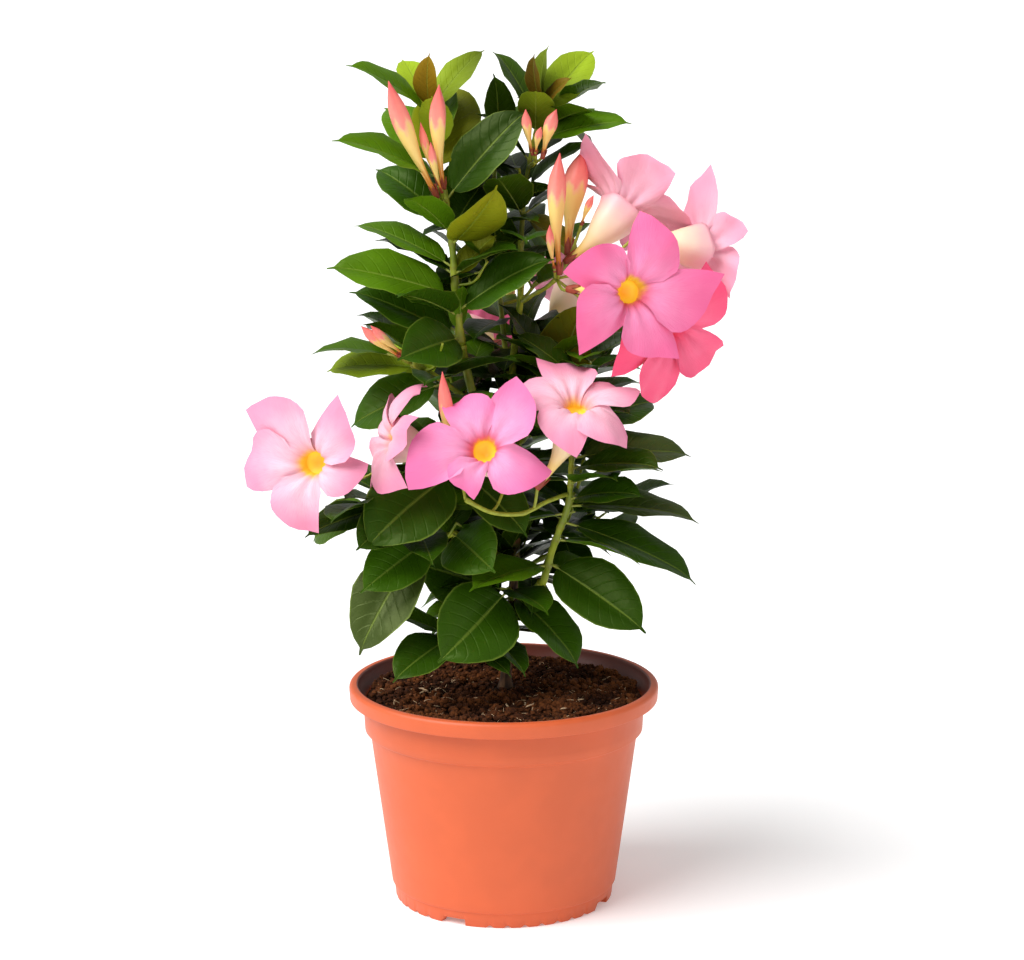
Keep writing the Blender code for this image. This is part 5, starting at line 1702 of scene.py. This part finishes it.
class MandevillaBlooms(PropertyGroup):
    """Colours of the flowers."""

    # Blush: a lighter copy of the pale pink, partly painted light that stands in for light through the
    # petals.
    blush: colour("Blush", (250, 168, 194), "Edge of the palest petals")
    blush_middle: colour("Blush middle", (255, 210, 222), "Middle of the palest petals")
    pale: colour("Pale", (240, 146, 178), "Edge of the pale petals")
    pale_middle: colour("Pale middle", (250, 202, 216), "Middle of the pale petals")
    mauve: colour("Mauve", (236, 116, 170), "Edge of the mauve petals")
    mauve_middle: colour("Mauve middle", (244, 160, 198), "Middle of the mauve petals")
    rose: colour("Rose", (242, 104, 156), "Edge of the rose petals")
    rose_middle: colour("Rose middle", (248, 148, 190), "Middle of the rose petals")
    deep: colour("Deep", (248, 80, 124), "Edge of the deep petals")
    deep_middle: colour("Deep middle", (250, 112, 148), "Middle of the deep petals")
    pale_ring: colour("Pale ring", (248, 178, 176), "Ring round the throat of a pale flower")
    ring: colour("Ring", (236, 100, 130), "Ring round the throat of the other flowers")
    throat: colour("Throat", (255, 210, 56), "Throat")
    throat_deep: colour("Deep throat", (252, 180, 40), "Deep inside the throat")
    throat_rim: colour("Throat rim", (255, 190, 110), "Rim of the throat")
    tube_foot: colour("Tube foot", (244, 206, 112), "Foot of the tube")
    tube: colour("Tube", (252, 224, 178), "Middle of the tube")
    tube_warm: colour("Bell", (252, 216, 196), "Outside of the bell")
    tube_rim: colour("Bell rim", (250, 184, 196), "Outside of the bell at the petals")
    calyx: colour("Calyx", (150, 62, 40), "Sepals")
    stalk: colour("Stalks", (154, 162, 48), "Stalks of the flowers")


class MandevillaBuds(PropertyGroup):
    """Colours of the buds."""

    bud_foot: colour("Foot", (214, 130, 36), "Foot of a bud")
    bud_body: colour("Body", (250, 212, 122), "Body of a bud")
    bud_peach: colour("Peach", (250, 188, 140), "Upper end of the body")
    bud_tip: colour("Tip", (252, 146, 130), "Tip of a bud")
    bud_point: colour("Point", (226, 86, 88), "Point of a bud")


class MandevillaStage(PropertyGroup):
    """The studio round the plant."""

    floor: amount("Floor", 0.94, 0.0, 1.0, "How light the floor is")
    sky: amount("Sky", 0.45, 0.0, 3.0, "Strength of the even light")
    horizon: amount("Horizon", 0.78, 0.0, 3.0, "Strength of the light low down")
    sun: amount("Sun", 3.3, 0.0, 10.0, "Strength of the soft main light")


def settings(key):
    """What the panel says for one group."""
    return getattr(bpy.context.scene, "mandevilla_" + key)


class MANDEVILLA_OT_pot(Operator):
    """Builds the moulded pot"""

    bl_idname = "mandevilla.pot"
    bl_label = "Pot"

    def execute(self, context):
        look = settings("pot")
        shape = Shape()
        add_pot(shape, look.lip_round / MM)
        shape.piece("moulded_pot", pot_finish(look), ["pot"], "pot_plastic")
        return {"FINISHED"}


class MANDEVILLA_OT_soil(Operator):
    """Builds the peat with its crumbs and fibres"""

    bl_idname = "mandevilla.soil"
    bl_label = "Soil"

    def execute(self, context):
        look = settings("soil")
        rng = np.random.default_rng(SEED)
        bed, crumbs, bits, fibres = Shape(), Shape(), Shape(), Shape()
        add_soil(bed)
        add_crumbs(crumbs, rng, look.crumbs, CRUMB_SIZES, CRUMB_FLAT)
        add_crumbs(bits, rng, look.crumbs // CRUMBS_TO_A_BIT, BIT_SIZES, BIT_FLAT)
        add_fibres(fibres, rng, look.fibres, FIBRE_LENGTHS)
        add_pale_bits(fibres)
        bed.piece("peat_bed", soil_finish(look), ["soil"], "soil")
        crumbs.piece("peat_crumbs", soil_finish(look), ["soil"], "soil")
        bits.piece("peat_bits", plain_finish("peat_bit", look.light, 0.9, 0.3), ["soil"], "soil")
        fibres.piece("peat_fibres", plain_finish("peat_fibre", look.fibre, 0.8, 0.25), ["soil"], "soil")
        return {"FINISHED"}


class MANDEVILLA_OT_stems(Operator):
    """Builds the trunk, boughs, stems and twigs"""

    bl_idname = "mandevilla.stems"
    bl_label = "Stems"

    def execute(self, context):
        look = settings("stems")
        plant = Plant()
        trunk, stems, twigs = Shape(), Shape(), Shape()
        add_trunk(trunk, look.relief / MM)
        for number, name in enumerate(BOUGHS):
            add_stem(stems, plant.limbs[name], 16, BOUGH_NODES, number / 10.0)
        for number, name in enumerate(MASSES):
            add_stem(twigs, plant.limbs[name], 12, plant.nodes[name], number / 20.0)
        for number, twig in enumerate(plant.twigs):
            add_stem(twigs, twig, 8, TWIG_PLACES, number / 40.0)
        trunk.piece("trunk_bark", bark_finish(look), ["trunk"], "bark")
        finish = green_stem_finish(look)
        stems.piece("green_boughs", finish, list(BOUGHS), "green_stem")
        twigs.piece("green_twigs", finish, list(MASSES), "foliage")
        return {"FINISHED"}


class MANDEVILLA_OT_leaves(Operator):
    """Builds the leaves, dealt out by tint, with their stalks and midribs"""

    bl_idname = "mandevilla.leaves"
    bl_label = "Leaves"

    def execute(self, context):
        look = settings("leaves")
        plant = Plant()
        blades = {tint: Shape() for tint in LEAF_SHEENS}
        petioles, midribs = Shape(), Shape()
        for leaf in plant.leaves:
            middle = add_blade(blades[leaf.tint], leaf)
            add_petiole(petioles, leaf)
            add_midrib(midribs, leaf, middle)
        for tint, sheen in LEAF_SHEENS.items():
            finish = leaf_finish("leaf_" + tint, getattr(look, tint), look.midrib, *sheen)
            blades[tint].piece("leaves_" + tint, finish, list(MASSES), "foliage")
        petioles.piece("leaf_stalks", plain_finish("leaf_stalk", look.petiole, 0.5), list(MASSES), "foliage")
        midribs.piece("leaf_midribs", plain_finish("leaf_midrib", look.midrib, 0.5), list(MASSES), "foliage")
        return {"FINISHED"}


class MANDEVILLA_OT_blooms(Operator):
    """Builds the flowers, with their stalks and sepals"""

    bl_idname = "mandevilla.blooms"
    bl_label = "Blooms"

    def execute(self, context):
        look = settings("blooms")
        plant = Plant()
        tints = {
            "blush": (look.blush, look.blush_middle, look.pale_ring, look.throat),
            "pale": (look.pale, look.pale_middle, look.pale_ring, look.throat),
            "mauve": (look.mauve, look.mauve_middle, look.ring, look.throat),
            "rose": (look.rose, look.rose_middle, look.ring, look.throat),
            "deep": (look.deep, look.deep_middle, look.deep, look.ring),
        }
        petals = {tint: Shape() for tint in tints}
        bells, throats, sepals, stalks = Shape(), Shape(), Shape(), Shape()
        for name, part_way, end in SPURS:
            start = plant.limbs[name].at(part_way)[0]
            path = mix((start, np.array(end, float)), np.linspace(0.0, 1.0, 8)[:, None])
            add_tube(sepals, path, PEDICEL_R, 8)
        for truss in TRUSSES.values():
            stalk, pedicels = truss_lines(plant, truss)
            add_stem(stalks, stalk, 10, STALK_NODES, 0.3)
            for line in pedicels:
                add_tube(stalks, line, PEDICEL_R, 8)
            for values in truss["flowers"]:
                flower = Flower(*values)
                add_tube_of(bells, flower)
                add_throat_of(throats, flower)
                for number, petal in enumerate(flower.petals):
                    add_petal(petals[flower.tint], flower, number, *petal)
                add_calyx(sepals, flower.base, flower.heading(0.0), *CALYX)
            for foot, tip, radius in truss_buds(truss):
                add_calyx(sepals, foot, tip - foot, BUD_CALYX[0] * radius, BUD_CALYX[1] * radius)
        for tint, colours in tints.items():
            finish = petal_finish("petal_" + tint, *colours)
            petals[tint].piece("petals_" + tint, finish, list(TRUSSES), "blossom")
        bells.piece("flower_tubes", bell_finish(look), list(TRUSSES), "blossom")
        throats.piece("flower_throats", throat_finish(look), list(TRUSSES), "blossom")
        sepals.piece("sepals", plain_finish("sepal", look.calyx, 0.55), list(TRUSSES), "blossom")
        stalks.piece("flower_stalks", plain_finish("flower_stalk", look.stalk, 0.5), list(TRUSSES), "blossom")
        return {"FINISHED"}


class MANDEVILLA_OT_buds(Operator):
    """Builds the buds"""

    bl_idname = "mandevilla.buds"
    bl_label = "Buds"

    def execute(self, context):
        buds = Shape()
        for truss in TRUSSES.values():
            for foot, tip, radius in truss_buds(truss):
                add_bud(buds, foot, tip, radius)
        buds.piece("buds", bud_finish(settings("buds")), list(TRUSSES), "blossom")
        return {"FINISHED"}


def stand(name, data, at=(0.0, 0.0, 0.0), turned=(0.0, 0.0, 0.0)):
    """A new object of the stage at a place, turned by degrees."""
    obj = bpy.data.objects.new(name, data)
    obj.location = at
    obj.rotation_euler = [math.radians(k) for k in turned]
    bpy.context.scene.collection.objects.link(obj)
    return obj


def stage_floor(look):
    """A wide level floor that gives a little light of its own."""
    mesh = bpy.data.meshes.new("floor")
    corners = [(-1, -1), (1, -1), (1, 1), (-1, 1)]
    mesh.from_pydata([(x * FLOOR_REACH, y * FLOOR_REACH, 0) for x, y in corners], [], [(0, 1, 2, 3)])
    finish = Finish("floor", 0.9)
    finish.feed("Specular IOR Level", 0.2)
    finish.feed("Base Color", (look.floor,) * 3)
    finish.feed("Emission Color", (look.floor,) * 3)
    finish.feed("Emission Strength", FLOOR_GLOW)
    mesh.materials.append(finish.material)
    stand("floor", mesh)


def stage_sky(look):
    """The world's light, which goes from one strength low down to another over the horizon."""
    world = bpy.data.worlds.new("studio")
    world.use_nodes = True
    sky = Sky(world)
    height = sky.along(sky.node("ShaderNodeTexCoord", {}, {}, "Generated"), "Z")
    low, high = (look.horizon,) * 3, (look.sky,) * 3
    sky.feed("Color", sky.blend(height.span(*HORIZON_BAND), low, high))
    bpy.context.scene.world = world


class MANDEVILLA_OT_stage(Operator):
    """Sets the floor, the soft light and the camera"""

    bl_idname = "mandevilla.stage"
    bl_label = "Stage"

    def execute(self, context):
        look = settings("stage")
        stage_floor(look)
        stage_sky(look)
        lamp = bpy.data.lights.new("main_light", "SUN")
        lamp.energy = look.sun
        lamp.angle = math.radians(SUN_SPREAD)
        stand("main_light", lamp, turned=SUN_TURNED)
        camera = bpy.data.cameras.new("camera")
        camera.lens = CAMERA_LENS
        camera.sensor_width = CAMERA_SENSOR
        camera.clip_start = CAMERA_NEAR
        camera.clip_end = 4.0 * FLOOR_REACH
        context.scene.camera = stand("camera", camera, CAMERA_AT, (90.0 - CAMERA_DOWN, 0.0, 0.0))
        context.scene.view_settings.view_transform = "Standard"
        return {"FINISHED"}


GROUPS = {
    "pot": MandevillaPot, "soil": MandevillaSoil, "stems": MandevillaStems, "leaves": MandevillaLeaves,
    "blooms": MandevillaBlooms, "buds": MandevillaBuds, "stage": MandevillaStage,
}
OPERATORS = {
    "pot": MANDEVILLA_OT_pot, "soil": MANDEVILLA_OT_soil, "stems": MANDEVILLA_OT_stems,
    "leaves": MANDEVILLA_OT_leaves, "blooms": MANDEVILLA_OT_blooms, "buds": MANDEVILLA_OT_buds,
    "stage": MANDEVILLA_OT_stage,
}


class MANDEVILLA_PT_panel(Panel):
    """The pieces of the plant, each with its sizes and colours"""

    bl_idname = "MANDEVILLA_PT_panel"
    bl_label = "Potted Mandevilla"
    bl_space_type = "VIEW_3D"
    bl_region_type = "UI"
    bl_category = "Mandevilla"

    def draw(self, context):
        """A box for each operator and its settings."""
        for key, operator in OPERATORS.items():
            box = self.layout.box()
            box.operator(operator.bl_idname)
            for name in GROUPS[key].__annotations__:
                box.prop(settings(key), name)


CLASSES = [*GROUPS.values(), *OPERATORS.values(), MANDEVILLA_PT_panel]


def register():
    """Makes the classes known and puts the groups in the scene."""
    for cls in CLASSES:
        bpy.utils.register_class(cls)
    for key, group in GROUPS.items():
        setattr(bpy.types.Scene, "mandevilla_" + key, PointerProperty(type=group))


def unregister():
    """Takes the groups and classes away again."""
    for key in GROUPS:
        delattr(bpy.types.Scene, "mandevilla_" + key)
    for cls in reversed(CLASSES):
        bpy.utils.unregister_class(cls)


def main():
    """Builds all pieces."""
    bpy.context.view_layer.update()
    register()
    for key in OPERATORS:
        getattr(bpy.ops.mandevilla, key)()


if __name__ == "__main__":
    main()
